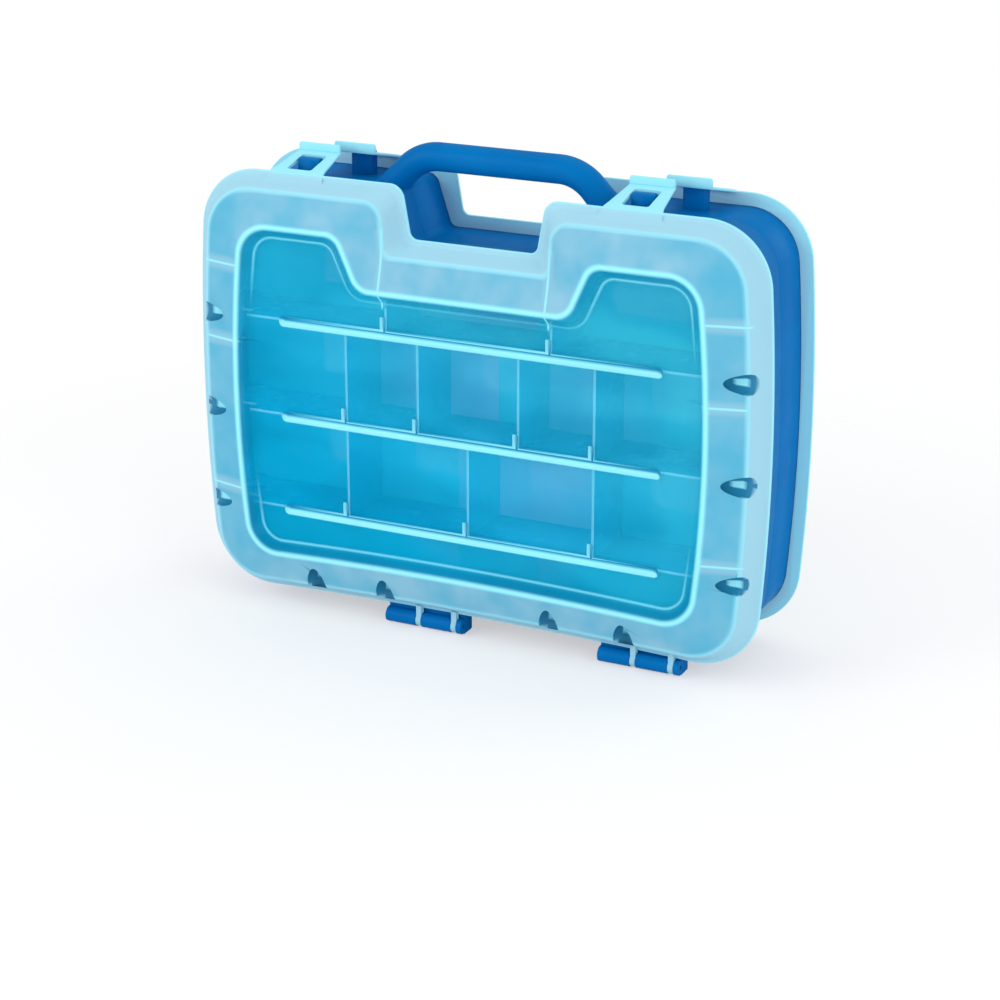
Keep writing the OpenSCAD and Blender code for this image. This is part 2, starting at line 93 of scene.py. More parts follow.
def add_node(
    tree: bpy.types.NodeTree, kind: str, inputs: Optional[dict] = None, **settings: object
) -> bpy.types.Node:
    """Adds a node with its settings, and fills or links its sockets.

    Args:
        tree: The node tree that gets the node.
        kind: The node's type, such as "ShaderNodeTexNoise".
        inputs: Values or output sockets, by the name or number of the input.
        settings: The node's own settings, by name.

    Returns:
        The new node.
    """
    node = tree.nodes.new(kind)
    for name, value in settings.items():
        setattr(node, name, value)
    for socket, value in (inputs or {}).items():
        if isinstance(value, bpy.types.NodeSocket):
            tree.links.new(value, node.inputs[socket])
        else:
            node.inputs[socket].default_value = value
    return node


def per_metre(size_mm: float) -> float:
    """The scale of a pattern whose features are size_mm apart, in Object coordinates."""
    return 1 / (size_mm * MM)


@dataclass(frozen=True)
class Finish:
    """A plastic with a clouded colour, an uneven gloss and a fine moulded texture.

    Attributes:
        name: The material's name.
        slot: The record's material slot; not used.
        colour: Its colour, as sRGB hex.
        cloud: The colour that it drifts towards.
        drift: How far it drifts, from 0 to 1.
        cloud_mm: Size of the drift's clouds.
        roughness: Roughness of the glossiest and the dullest places.
        grain_mm: Size of the moulded texture's grain.
        grain_bump: Height of that grain.
        ior: Index of refraction.
        gloss: Strength of the reflections, where 0.5 is a polished face.
        opacity: Share of light that the wall stops, or 1.
    """

    name: str
    slot: str
    colour: str
    cloud: str
    drift: float = 0.5
    cloud_mm: float = 60.0
    roughness: tuple[float, float] = (0.3, 0.4)
    grain_mm: float = 1.2
    grain_bump: float = 0.02
    ior: float = 1.5
    gloss: float = 0.2
    opacity: float = 1.0

    def material(self) -> bpy.types.Material:
        """Builds the material, or finds the one that is built already.

        Returns:
            The material.
        """
        if self.name in bpy.data.materials:
            return bpy.data.materials[self.name]
        made = bpy.data.materials.new(self.name)
        made.use_nodes = True
        tree = made.node_tree
        tree.nodes.clear()
        self.wire(tree)
        return made

    def wire(self, tree: bpy.types.NodeTree) -> None:
        """Wires the plain plastic's nodes.

        Args:
            tree: The material's node tree, which is empty.
        """
        where = add_node(tree, "ShaderNodeTexCoord").outputs["Object"]
        cloud = add_node(
            tree, "ShaderNodeTexNoise",
            {"Vector": where, "Scale": per_metre(self.cloud_mm), "Detail": 3.0},
        )
        share = add_node(
            tree, "ShaderNodeMapRange",
            {0: cloud.outputs[0], 1: CLOUD_SPREAD[0], 2: CLOUD_SPREAD[1], 3: 0.0, 4: self.drift},
            interpolation_type="SMOOTHSTEP",
        )
        colour = add_node(
            tree, "ShaderNodeMix",
            {0: share.outputs[0], 6: linear(self.colour), 7: linear(self.cloud)},
            data_type="RGBA",
        )
        tinted = self.tint(tree, where, colour.outputs[2])
        wear = add_node(
            tree, "ShaderNodeTexNoise",
            {"Vector": where, "Scale": per_metre(self.cloud_mm / 5), "Detail": 6.0},
        )
        rough = add_node(
            tree, "ShaderNodeMapRange",
            {0: wear.outputs[0], 1: WEAR_SPREAD[0], 2: WEAR_SPREAD[1], 3: self.roughness[0],
             4: self.roughness[1]},
        )
        add_node(
            tree, "ShaderNodeOutputMaterial",
            {0: self.plastic(tree, tinted, rough.outputs[0], self.grain(tree, where),
                             self.opacity)},
        )

    def tint(
        self, tree: bpy.types.NodeTree, where: bpy.types.NodeSocket, colour: bpy.types.NodeSocket
    ) -> bpy.types.NodeSocket:
        """The clouded colour with what else the plastic shows: nothing on a plain one."""
        return colour

    def grain(
        self, tree: bpy.types.NodeTree, where: bpy.types.NodeSocket
    ) -> bpy.types.NodeSocket:
        """Adds the mould's spark-eroded texture.

        Args:
            tree: The material's node tree.
            where: Object coordinates.

        Returns:
            The normal that the texture gives.
        """
        grain = add_node(
            tree, "ShaderNodeTexNoise",
            {"Vector": where, "Scale": per_metre(self.grain_mm), "Detail": 2.0},
        )
        bump = add_node(
            tree, "ShaderNodeBump",
            {"Height": grain.outputs[0], "Strength": 1.0, "Distance": self.grain_bump * MM},
        )
        return bump.outputs[0]

    def plastic(
        self, tree: bpy.types.NodeTree, colour: Socket, rough: Socket, normal: Socket,
        opacity: Socket,
    ) -> bpy.types.NodeSocket:
        """Adds the plastic's shader.

        Args:
            tree: The material's node tree.
            colour: Its base colour.
            rough: Its roughness.
            normal: Its normal, with the grain.
            opacity: Its alpha.

        Returns:
            The shader's output.
        """
        shader = add_node(
            tree, "ShaderNodeBsdfPrincipled",
            {"Base Color": colour, "Roughness": rough, "Normal": normal, "Alpha": opacity,
             "IOR": self.ior, "Specular IOR Level": self.gloss},
        )
        return shader.outputs[0]


@dataclass(frozen=True)
class PaintedEdgeLightSheet(Finish):
    """Tinted clear sheet, whose cut edges are painted bright, as painted light for the light that
    its faces take in.

    Attributes:
        edge: Painted light colour of the edges that face the front or the rear, as sRGB hex.
        facing_from: How squarely a face looks forward or back to be an edge, up to 1.
    """

    edge: str = "#b4f0fc"
    facing_from: float = 0.7

    def tint(
        self, tree: bpy.types.NodeTree, where: bpy.types.NodeSocket, colour: bpy.types.NodeSocket
    ) -> bpy.types.NodeSocket:
        """Paints the bright edges, a painted light, into the sheet's colour.

        Args:
            tree: The material's node tree.
            where: Object coordinates.
            colour: The clouded colour.

        Returns:
            The colour with its edges.
        """
        normal = add_node(tree, "ShaderNodeNewGeometry").outputs["Normal"]
        facing = add_node(tree, "ShaderNodeSeparateXYZ", {0: normal}).outputs[1]
        facing = add_node(tree, "ShaderNodeMath", {0: facing}, operation="ABSOLUTE").outputs[0]
        share = add_node(
            tree, "ShaderNodeMath", {0: facing, 1: self.facing_from}, operation="GREATER_THAN"
        ).outputs[0]
        return add_node(
            tree, "ShaderNodeMix", {0: share, 6: colour, 7: linear(self.edge)}, data_type="RGBA"
        ).outputs[2]


@dataclass(frozen=True)
class BayTintedSheet(Finish):
    """Milky sheet behind the trays, whose tone changes from one bay to the next.

    Attributes:
        bay: Colour of the bays that are tinted most, as sRGB hex.
        tones: Tones from which a bay starts to be tinted, and is tinted fully.
        bay_mm: Width and height of a tinted band.
        foot_mm: Height of the foot of the lowest row.
        middle_mm: Height of the middle of the tinted bays.
        reach_mm: How far from that middle bays are tinted. From half of it the tint fades.
    """

    bay: str = "#c8c6fc"
    tones: Flat = (0.2, 0.5)
    bay_mm: Flat = (31.5, 70.0)
    foot_mm: float = 9.0
    middle_mm: float = 150.0
    reach_mm: float = 130.0

    def tint(
        self, tree: bpy.types.NodeTree, where: bpy.types.NodeSocket, colour: bpy.types.NodeSocket
    ) -> bpy.types.NodeSocket:
        """Adds a tone of its own in each bay to the sheet's colour.

        Args:
            tree: The material's node tree.
            where: Object coordinates.
            colour: The clouded colour.

        Returns:
            The colour with its bays.
        """
        wide, high = self.bay_mm
        moved = add_node(
            tree, "ShaderNodeVectorMath", {0: where, 1: (0.0, 0.0, -self.foot_mm * MM)},
            operation="ADD",
        ).outputs[0]
        bay = add_node(
            tree, "ShaderNodeVectorMath", {0: moved, 1: (wide * MM, 1.0, high * MM)},
            operation="SNAP",
        ).outputs[0]
        tone = add_node(tree, "ShaderNodeTexWhiteNoise", {"Vector": bay}).outputs["Value"]
        away = add_node(
            tree, "ShaderNodeVectorMath", {0: where, 1: (0.0, 0.0, self.middle_mm * MM)},
            operation="DISTANCE",
        ).outputs["Value"]
        near = add_node(
            tree, "ShaderNodeMapRange",
            {0: away, 1: 0.5 * self.reach_mm * MM, 2: self.reach_mm * MM, 3: 1.0, 4: 0.0},
        ).outputs[0]
        share = add_node(
            tree, "ShaderNodeMapRange",
            {0: tone, 1: self.tones[0], 2: self.tones[1], 3: 0.0, 4: 1.0},
        ).outputs[0]
        share = add_node(
            tree, "ShaderNodeMath", {0: share, 1: near}, operation="MULTIPLY"
        ).outputs[0]
        return add_node(
            tree, "ShaderNodeMix", {0: share, 6: colour, 7: linear(self.bay)}, data_type="RGBA"
        ).outputs[2]


@dataclass(frozen=True)
class Layer:
    """A tint that a translucent wall takes where a mask says so.

    Attributes:
        mask: Name of the mask.
        colour: The tint, as sRGB hex.
        opacity: Share of light that the wall stops there.
        weight: How much of the tint shows at most.
    """

    mask: str
    colour: str
    opacity: float
    weight: float = 1.0


@dataclass(frozen=True)
class FrostedPolypropylene(Finish):
    """Translucent polypropylene: clear and cyan over the polished panel, and milky where the
    mould is textured, on the border and the walls. Webs behind it read through as pale lines of
    painted light, and painted highlights and painted shade lie on its edges, grooves and dents.

    Attributes:
        upper: Colour that the panel drifts towards at the top right.
        upper_way: Direction in which it does.
        upper_mm: Length over which it does.
        streak: Stretch of the panel's clouds along each axis, where less is longer.
        streak_spread: Levels of noise between which the clouds lie.
        layers: Tints of the border, its milky cells, the walls, the painted shade of the grooves'
            dark sides and the painted light of the bright edges.
        clear: Opacity of the panel.
        frost_steps: Marks of frost between which each mask rises.
        blotch_share: Size of the border's blotches, as a share of the clouds'.
        blotch_spread: Levels of noise between which the blotches lie.
        milky: How milky the border is between its blotches, and on them.
        beside_panel: How much of that is left in the cells beside the panel.
        webs: Heights of the side webs.
        web_x: Place of the webs below the valley's ends.
        web_half: Half the width between the crests, and between the rounded edges.
        valley_z: Foot and head of the webs below the valley's ends.
        web_ends: Length over which the side webs and those webs fade at their ends.
        web_lines: Half width, softness and strength of a web's line, and of its halo.
        cell_soft: Softness of the cells' edges.
    """

    upper: str = "#40e0ff"
    upper_way: Point = (0.55, 0.0, 0.83)
    upper_mm: float = 300.0
    streak: Point = (0.4, 1.0, 1.0)
    streak_spread: Flat = (0.42, 0.62)
    layers: tuple[Layer, ...] = (
        Layer("border", "#44b8dc", 0.72),
        Layer("cell", "#9acbe0", 0.82, 0.9),
        Layer("wall", "#a2d5e8", 0.88),
        # The last two layers are painted shade in dark teal and painted light in pale cyan.
        Layer("shade", "#067ba6", 0.86, 0.9),
        Layer("painted_light", "#9aeefc", 0.95),
    )
    clear: float = 0.3
    frost_steps: tuple[tuple[str, float, float], ...] = (
        ("border", 0.0, 0.5), ("wall", 0.5, 1.0), ("outer", 0.52, 0.7),
    )
    blotch_share: float = 0.6
    blotch_spread: Flat = (0.34, 0.66)
    milky: Flat = (0.4, 0.95)
    beside_panel: float = 0.55
    webs: tuple[float, ...] = (92.0, 202.0, 257.0)
    web_x: float = 62.4
    web_half: Flat = (176.0, 203.0)
    valley_z: Flat = (240.0, 292.0)
    web_ends: Flat = (3.0, 4.0)
    web_lines: tuple[Point, Point] = ((0.35, 1.0, 0.75), (1.5, 9.0, 0.9))
    cell_soft: float = 18.0

    def wire(self, tree: bpy.types.NodeTree) -> None:
        """Wires the frosted plastic's nodes.

        Args:
            tree: The material's node tree, which is empty.
        """
        where = add_node(tree, "ShaderNodeTexCoord").outputs["Object"]
        colour = self.panel_colour(tree, where)
        opacity: Socket = self.clear
        masks = self.masks(tree, where)
        for layer in self.layers:
            share = add_node(
                tree, "ShaderNodeMath", {0: masks[layer.mask], 1: layer.weight},
                operation="MULTIPLY", use_clamp=True,
            ).outputs[0]
            colour = add_node(
                tree, "ShaderNodeMix", {0: share, 6: colour, 7: linear(layer.colour)},
                data_type="RGBA",
            ).outputs[2]
            opacity = add_node(
                tree, "ShaderNodeMix", {0: share, 2: opacity, 3: layer.opacity},
                data_type="FLOAT",
            ).outputs[0]
        rough = add_node(
            tree, "ShaderNodeMapRange",
            {0: masks["border"], 1: 0.0, 2: 1.0, 3: self.roughness[0], 4: self.roughness[1]},
        ).outputs[0]
        shader = self.plastic(tree, colour, rough, self.grain(tree, where), opacity)
        add_node(tree, "ShaderNodeOutputMaterial", {0: shader})

    def panel_colour(
        self, tree: bpy.types.NodeTree, where: bpy.types.NodeSocket
    ) -> bpy.types.NodeSocket:
        """Adds the panel's cyan, lighter towards the top right, with soft level streaks.

        Args:
            tree: The material's node tree.
            where: Object coordinates.

        Returns:
            The colour.
        """
        rise = add_node(
            tree, "ShaderNodeVectorMath", {0: where, 1: self.upper_way},
            operation="DOT_PRODUCT",
        ).outputs["Value"]
        share = add_node(
            tree, "ShaderNodeMapRange",
            {0: rise, 1: 0.0, 2: self.upper_mm * MM, 3: 0.0, 4: 1.0},
            interpolation_type="SMOOTHSTEP",
        ).outputs[0]
        colour = add_node(
            tree, "ShaderNodeMix", {0: share, 6: linear(self.colour), 7: linear(self.upper)},
            data_type="RGBA",
        ).outputs[2]
        along = add_node(
            tree, "ShaderNodeVectorMath", {0: where, 1: self.streak}, operation="MULTIPLY"
        ).outputs[0]
        cloud = add_node(
            tree, "ShaderNodeTexNoise",
            {"Vector": along, "Scale": per_metre(self.cloud_mm), "Detail": 4.0},
        ).outputs[0]
        share = add_node(
            tree, "ShaderNodeMapRange",
            {0: cloud, 1: self.streak_spread[0], 2: self.streak_spread[1], 3: 0.0,
             4: self.drift},
            interpolation_type="SMOOTHSTEP",
        ).outputs[0]
        return add_node(
            tree, "ShaderNodeMix", {0: share, 6: colour, 7: linear(self.cloud)},
            data_type="RGBA",
        ).outputs[2]

    def masks(
        self, tree: bpy.types.NodeTree, where: bpy.types.NodeSocket
    ) -> dict[str, bpy.types.NodeSocket]:
        """Adds the masks of the layers, from the mesh's attributes and the webs' places.

        Args:
            tree: The material's node tree.
            where: Object coordinates.

        Returns:
            The masks by name, each from 0 to 1.
        """
        marks = {
            name: add_node(tree, "ShaderNodeAttribute", attribute_name=name).outputs["Fac"]
            for name in ("frost", "painted_light", "shade")
        }
        steps = {
            name: add_node(
                tree, "ShaderNodeMapRange", {0: marks["frost"], 1: low, 2: high, 3: 0.0, 4: 1.0},
                interpolation_type="SMOOTHSTEP",
            ).outputs[0]
            for name, low, high in self.frost_steps
        }
        lines, halos, beside = self.read_through(tree, where)
        blotch = add_node(
            tree, "ShaderNodeTexNoise",
            {"Vector": where, "Scale": per_metre(self.cloud_mm * self.blotch_share),
             "Detail": 2.0},
        ).outputs[0]
        milky = add_node(
            tree, "ShaderNodeMapRange",
            {0: blotch, 1: self.blotch_spread[0], 2: self.blotch_spread[1], 3: self.milky[0],
             4: self.milky[1]},
        ).outputs[0]
        cells = add_node(
            tree, "ShaderNodeMapRange",
            {0: beside, 1: 0.0, 2: 1.0, 3: 1.0, 4: self.beside_panel},
        ).outputs[0]
        paler = add_node(
            tree, "ShaderNodeMath", {0: milky, 1: cells}, operation="MULTIPLY"
        ).outputs[0]
        for more in (halos, steps["outer"]):
            paler = add_node(
                tree, "ShaderNodeMath", {0: paler, 1: more}, operation="MAXIMUM"
            ).outputs[0]
        cell = add_node(
            tree, "ShaderNodeMath", {0: paler, 1: steps["border"]}, operation="MULTIPLY"
        ).outputs[0]
        # Painted light: the bright edges marked on the mesh, and the webs' pale lines.
        painted_light = add_node(
            tree, "ShaderNodeMath", {0: marks["painted_light"], 1: lines}, operation="MAXIMUM"
        ).outputs[0]
        return {"border": steps["border"], "wall": steps["wall"], "cell": cell,
                "shade": marks["shade"], "painted_light": painted_light}

    def read_through(
        self, tree: bpy.types.NodeTree, where: bpy.types.NodeSocket
    ) -> tuple[bpy.types.NodeSocket, bpy.types.NodeSocket, bpy.types.NodeSocket]:
        """Adds the pale lines that the inner webs make on the border, as painted light, and their
        soft halos.

        Args:
            tree: The material's node tree.
            where: Object coordinates.

        Returns:
            The lines' mask and the halos' mask, each 1 on a web and 0 away from it, and the
            mask of the cells beside the panel.
        """
        axes = add_node(tree, "ShaderNodeSeparateXYZ", {0: where}).outputs
        across = add_node(
            tree, "ShaderNodeMath", {0: axes[0]}, operation="ABSOLUTE"
        ).outputs[0]

        def near(value: Socket, place: float, half: float, soft: float) -> bpy.types.NodeSocket:
            """Adds a mask of a level or upright stretch, with soft edges.

            Args:
                value: Height or distance from the middle, in metres.
                place: The stretch's middle, in millimetres.
                half: Half its width, in millimetres.
                soft: Width of its soft edge, in millimetres.

            Returns:
                The mask: 1 on the stretch and 0 past its edge.
            """
            off = add_node(
                tree, "ShaderNodeMath", {0: value, 1: -place * MM}, operation="ADD"
            ).outputs[0]
            off = add_node(tree, "ShaderNodeMath", {0: off}, operation="ABSOLUTE").outputs[0]
            return add_node(
                tree, "ShaderNodeMapRange",
                {0: off, 1: half * MM, 2: (half + soft) * MM, 3: 1.0, 4: 0.0},
                interpolation_type="SMOOTHSTEP",
            ).outputs[0]

        inner, outer = self.web_half
        foot, head = self.valley_z
        beside = near(across, (inner + outer) / 2, (outer - inner) / 2, self.web_ends[0])
        below = near(axes[2], (foot + head) / 2, (head - foot) / 2, self.web_ends[1])
        masks = []
        for half, soft, strength in self.web_lines:
            places = [(axes[2], z, beside) for z in self.webs]
            places.append((across, self.web_x, below))
            total: Socket = 0.0
            for value, place, within in places:
                total = add_node(
                    tree, "ShaderNodeMath",
                    {0: near(value, place, half, soft), 1: within, 2: total},
                    operation="MULTIPLY_ADD",
                ).outputs[0]
            masks.append(add_node(
                tree, "ShaderNodeMath", {0: total, 1: strength}, operation="MULTIPLY"
            ).outputs[0])
        cells = near(across, (inner + outer) / 2, (outer - inner) / 4, self.cell_soft)
        return masks[0], masks[1], cells


# ABS with a deep blue dye, injection moulded: satin, with a soft broad highlight.
BODY_ABS = Finish(
    name="moulded_abs_deep_blue", slot="body_blue", colour="#0065aa", cloud="#0074b8",
    roughness=(0.3, 0.42), grain_mm=1.4, grain_bump=0.03, ior=1.45, gloss=0.04,
)
# Acetal rod in a darker blue: smooth, with a waxy sheen.
PIN_ACETAL = Finish(
    name="acetal_rod_blue", slot="pin_blue", colour="#0a5a9c", cloud="#0b5190",
    roughness=(0.24, 0.3), cloud_mm=12.0, grain_mm=0.8, grain_bump=0.01, ior=1.48, gloss=0.4,
)
# Polystyrene sheet tinted cyan: dividers as thin glossy plates that let some light through, with
# painted light on their front and rear edges.
DIVIDER_STYRENE = PaintedEdgeLightSheet(
    name="polystyrene_sheet_cyan", slot="divider_clear", colour="#0094cc", cloud="#02a6de",
    drift=0.6, cloud_mm=35.0, roughness=(0.2, 0.3), grain_mm=2.0, grain_bump=0.01, ior=1.5,
    gloss=0.1, opacity=0.9,
)
# Milky polystyrene: the wall between the two trays, seen as a pale ground behind the panel.
PARTITION_STYRENE = BayTintedSheet(
    name="milky_polystyrene", slot="partition_milky", colour="#14e0ff", cloud="#3ceaff",
    drift=0.8, cloud_mm=70.0, roughness=(0.35, 0.45), grain_mm=2.0, grain_bump=0.02, ior=1.45,
    gloss=0.05, opacity=0.72,
)
# Frosted polypropylene of the lids.
LID_POLYPROPYLENE = FrostedPolypropylene(
    name="frosted_polypropylene", slot="lid_frosted", colour="#00ccff", cloud="#00b0de",
    drift=0.6, cloud_mm=50.0, roughness=(0.22, 0.42), grain_mm=1.1, grain_bump=0.02, ior=1.42,
    gloss=0.07,
)


# ---- Outlines ---------------------------------------------------------------------------------


@dataclass(frozen=True)
class Outline:
    """The case's outline, seen from the front: bowed sides, an arched foot, and a valley
    between two shoulders. Every stretch is an arc that meets the next one at a tangent.

    Attributes:
        half: Half the width, at the middle of the sides.
        bow: How far a side bows out.
        top: Height of the shoulders.
        foot: Height of the foot beside the corners.
        arch: How far the foot's middle rises above that.
        corner: Radius of the outer corners.
        valley_half: Half the width of the valley's floor.
        valley_z: Height of the valley's floor.
        fillet: Radius between that floor and the valley's walls.
        shoulder: Radius between those walls and the shoulders.
        lean: How far those walls lean from upright, in degrees.
    """

    half: float
    bow: float
    top: float
    foot: float
    arch: float
    corner: float
    valley_half: float
    valley_z: float
    fillet: float
    shoulder: float
    lean: float

    CORNER_STEPS = 18
    VALLEY_STEPS = 12
    BOW_STEPS = 9

    def values(self) -> np.ndarray:
        """The outline's sizes as one vector."""
        return np.array([getattr(self, name) for name in self.__dataclass_fields__])

    def moved_in(
        self, side: float, top: float, foot: float, corner: float, fillet: float,
        shoulder: float, lean: float, notch: float,
    ) -> "Outline":
        """Moves the outline in from its sides, top, foot and valley, with new radii.

        Args:
            side: How far the sides move in.
            top: How far the shoulders and the valley's floor move down.
            foot: How far the foot moves up.
            corner: Radius of the new corners.
            fillet: Radius of the new fillets in the valley.
            shoulder: Radius of the new shoulders.
            lean: Lean of the new valley's walls, in degrees.
            notch: How far the valley's walls move apart.

        Returns:
            The new outline.
        """
        return Outline(
            self.half - side, self.bow, self.top - top, self.foot + foot, self.arch, corner,
            self.valley_half + notch, self.valley_z - top, fillet, shoulder, lean,
        )

    def thinner(self, t: float) -> "Outline":
        """The outline moved in by a thickness t all round."""
        return self.moved_in(
            t, t, t, max(self.corner - t, 2), self.fillet + t, max(self.shoulder - t, 2),
            self.lean, t,
        )

    def between(self, other: "Outline", share: float) -> "Outline":
        """The outline a share of the way from this one to other."""
        return Outline(*(self.values() * (1 - share) + other.values() * share))

    def points(self) -> list[Flat]:
        """Draws the outline.

        Returns:
            Its points, anticlockwise from the middle of the foot.
        """
        mid = (self.top + self.foot) / 2
        side_r = (((self.top - self.foot) / 2) ** 2 + self.bow**2) / (2 * self.bow)
        rise = (self.top - self.foot) / 2 - self.corner
        run = math.sqrt((side_r - self.corner) ** 2 - rise**2)
        cx = self.half - side_r + run
        tilt = math.degrees(math.atan2(rise, run))
        foot_sum = (cx**2 + self.arch**2) / (2 * self.arch)
        turn = math.degrees(math.asin(cx / foot_sum))
        foot_r = foot_sum - self.corner
        tan, cos = math.tan(math.radians(self.lean)), math.cos(math.radians(self.lean))
        shoulder_x = (
            self.valley_half + (self.top - self.shoulder - self.valley_z) * tan
            + self.shoulder / cos
        )
        fillet_x = self.valley_half + self.fillet * tan - self.fillet / cos
        right = [
            *arc((0, self.foot + self.arch - foot_r), foot_r, 90, 90 - turn, self.BOW_STEPS),
            *arc((cx, self.foot + self.corner), self.corner, -90 - turn, -tilt,
                 self.CORNER_STEPS)[1:],
            *arc((self.half - side_r, mid), side_r, -tilt, tilt, 2 * self.BOW_STEPS)[1:],
            *arc((cx, self.top - self.corner), self.corner, tilt, 90, self.CORNER_STEPS)[1:],
            *arc((shoulder_x, self.top - self.shoulder), self.shoulder, 90, 180 - self.lean,
                 self.VALLEY_STEPS),
            *arc((fillet_x, self.valley_z + self.fillet), self.fillet, -self.lean, -90,
                 self.VALLEY_STEPS),
        ]
        return right + [(-x, z) for x, z in reversed(right[1:])]


def arc(centre: Flat, r: float, start: float, end: float, steps: int) -> list[Flat]:
    """Points of an arc about centre, from angle start to end in degrees."""
    angles = (math.radians(start + (end - start) * i / steps) for i in range(steps + 1))
    return [(centre[0] + r * math.cos(a), centre[1] + r * math.sin(a)) for a in angles]


Station = tuple[Outline, float]


def softened(
    stations: Sequence[Station], radius: float, steps: int = 3, most: float = 0.45
) -> list[Station]:
    """Rounds the corners of a lid's or a body's profile.

    Args:
        stations: Outlines with their distances in front of the middle.
        radius: How far from a corner the rounding starts.
        steps: Pieces of each rounding.
        most: Largest share of the way to the next corner that it takes.

    Returns:
        The stations of the rounded profile.
    """
    rows = [np.append(outline.values(), depth) for outline, depth in stations]
    out = [rows[0]]
    for before, here, after in zip(rows, rows[1:], rows[2:]):
        ends = []
        for other in (before, after):
            gap = math.hypot(other[0] - here[0], other[-1] - here[-1]) or 1.0
            ends.append(here + (other - here) * min(most, radius / gap))
        for i in range(steps + 1):
            t = i / steps
            out.append(ends[0] * (1 - t) ** 2 + here * 2 * t * (1 - t) + ends[1] * t**2)
    out.append(rows[-1])
    return [(Outline(*row[:-1]), float(row[-1])) for row in out]


# ---- Solids -----------------------------------------------------------------------------------


class Solid:
    """A closed mesh in millimetres that other solids are joined to and cut from."""

    # Points that are closer than this are one point when the mesh is cleaned.
    WELD = 0.002

    def __init__(self, rings: Sequence[Sequence[Point]]) -> None:
        """Builds a loft that is closed at both ends.

        Args:
            rings: Its cross sections, of as many points each.
        """
        count = len(rings[0])
        faces: list[Sequence[int]] = [range(count), range(len(rings) * count - 1,
                                                          (len(rings) - 1) * count - 1, -1)]
        for k in range(len(rings) - 1):
            a, b = k * count, (k + 1) * count
            for i in range(count):
                j = (i + 1) % count
                faces.append((b + i, b + j, a + j, a + i))
        mesh = bpy.data.meshes.new("solid")
        mesh.from_pydata([p for ring in rings for p in ring], [], [list(f) for f in faces])
        work = bmesh.new()
        work.from_mesh(mesh)
        bmesh.ops.recalc_face_normals(work, faces=work.faces)
        work.to_mesh(mesh)
        work.free()
        self.piece = bpy.data.objects.new("solid", mesh)
        bpy.context.scene.collection.objects.link(self.piece)

    @classmethod
    def loft(cls, stations: Sequence[Station]) -> "Solid":
        """A loft through outlines at distances in front of the middle."""
        return cls([[(x, -depth, z) for x, z in outline.points()] for outline, depth in stations])

    @classmethod
    def slab(cls, outline: Outline, near: float, far: float) -> "Solid":
        """An outline extruded between two distances in front of the middle."""
        return cls.loft([(outline, near), (outline, far)])

    @classmethod
    def block(cls, low: Point, high: Point) -> "Solid":
        """A box between two corners."""
        (x0, y0, z0), (x1, y1, z1) = low, high
        return cls([[(x0, y0, z), (x1, y0, z), (x1, y1, z), (x0, y1, z)] for z in (z0, z1)])

    @classmethod
    def rod(cls, x0: float, x1: float, y: float, z: float, r: float, sides: int = 48) -> "Solid":
        """A round bar along X about the line at y and z."""
        turns = [2 * math.pi * i / sides for i in range(sides)]
        return cls([[(x, y + r * math.cos(a), z + r * math.sin(a)) for a in turns]
                    for x in (x0, x1)])

    @classmethod
    def prism(cls, x0: float, x1: float, profile: Sequence[Flat]) -> "Solid":
        """A profile of (y, z) points extruded along X."""
        return cls([[(x, y, z) for y, z in profile] for x in (x0, x1)])

    def join(self, tools: Iterable["Solid"]) -> "Solid":
        """Joins tools to this solid and uses them up."""
        return self._apply(tools, "UNION")

    def cut(self, tools: Iterable["Solid"]) -> "Solid":
        """Cuts tools from this solid and uses them up."""
        return self._apply(tools, "DIFFERENCE")

    def keep(self, tools: Iterable["Solid"]) -> "Solid":
        """Keeps what lies in tools and uses them up."""
        return self._apply(tools, "INTERSECT")

    def _apply(self, tools: Iterable["Solid"], operation: str) -> "Solid":
        """Runs one Boolean step for each tool.

        Args:
            tools: The solids that are used up.
            operation: Blender's word for the step.

        Returns:
            This solid.
        """
        used = list(tools)
        for tool in used:
            step = self.piece.modifiers.new("step", "BOOLEAN")
            step.operation, step.solver, step.object = operation, "MANIFOLD", tool.piece
        graph = bpy.context.evaluated_depsgraph_get()
        mesh = bpy.data.meshes.new_from_object(self.piece.evaluated_get(graph))
        self.piece.modifiers.clear()
        self.piece.data = mesh
        for tool in used:
            bpy.data.objects.remove(tool.piece)
        return self

    def turned(self, turn: float) -> "Solid":
        """Turns the solid about Z, in radians."""
        self.piece.data.transform(Matrix.Rotation(turn, 4, "Z"))
        return self

    def finished(self, name: str, crease: float = 34.0) -> bpy.types.Object:
        """Cleans the mesh, shades it smooth up to a crease angle and turns it to metres.

        Args:
            name: The piece's name.
            crease: Angle between faces from which an edge stays sharp, in degrees.

        Returns:
            The piece.
        """
        mesh = self.piece.data
        work = bmesh.new()
        work.from_mesh(mesh)
        bmesh.ops.remove_doubles(work, verts=work.verts, dist=self.WELD)
        bmesh.ops.dissolve_degenerate(work, edges=work.edges, dist=self.WELD)
        for face in work.faces:
            face.smooth = True
        for edge in work.edges:
            edge.smooth = (
                len(edge.link_faces) == 2
                and edge.calc_face_angle(math.pi) < math.radians(crease)
            )
        work.to_mesh(mesh)
        work.free()
        mesh.transform(Matrix.Scale(MM, 4))
        self.piece.name = mesh.name = name
        return self.piece


# ---- Sizes that the pieces share ---------------------------------------------------------------


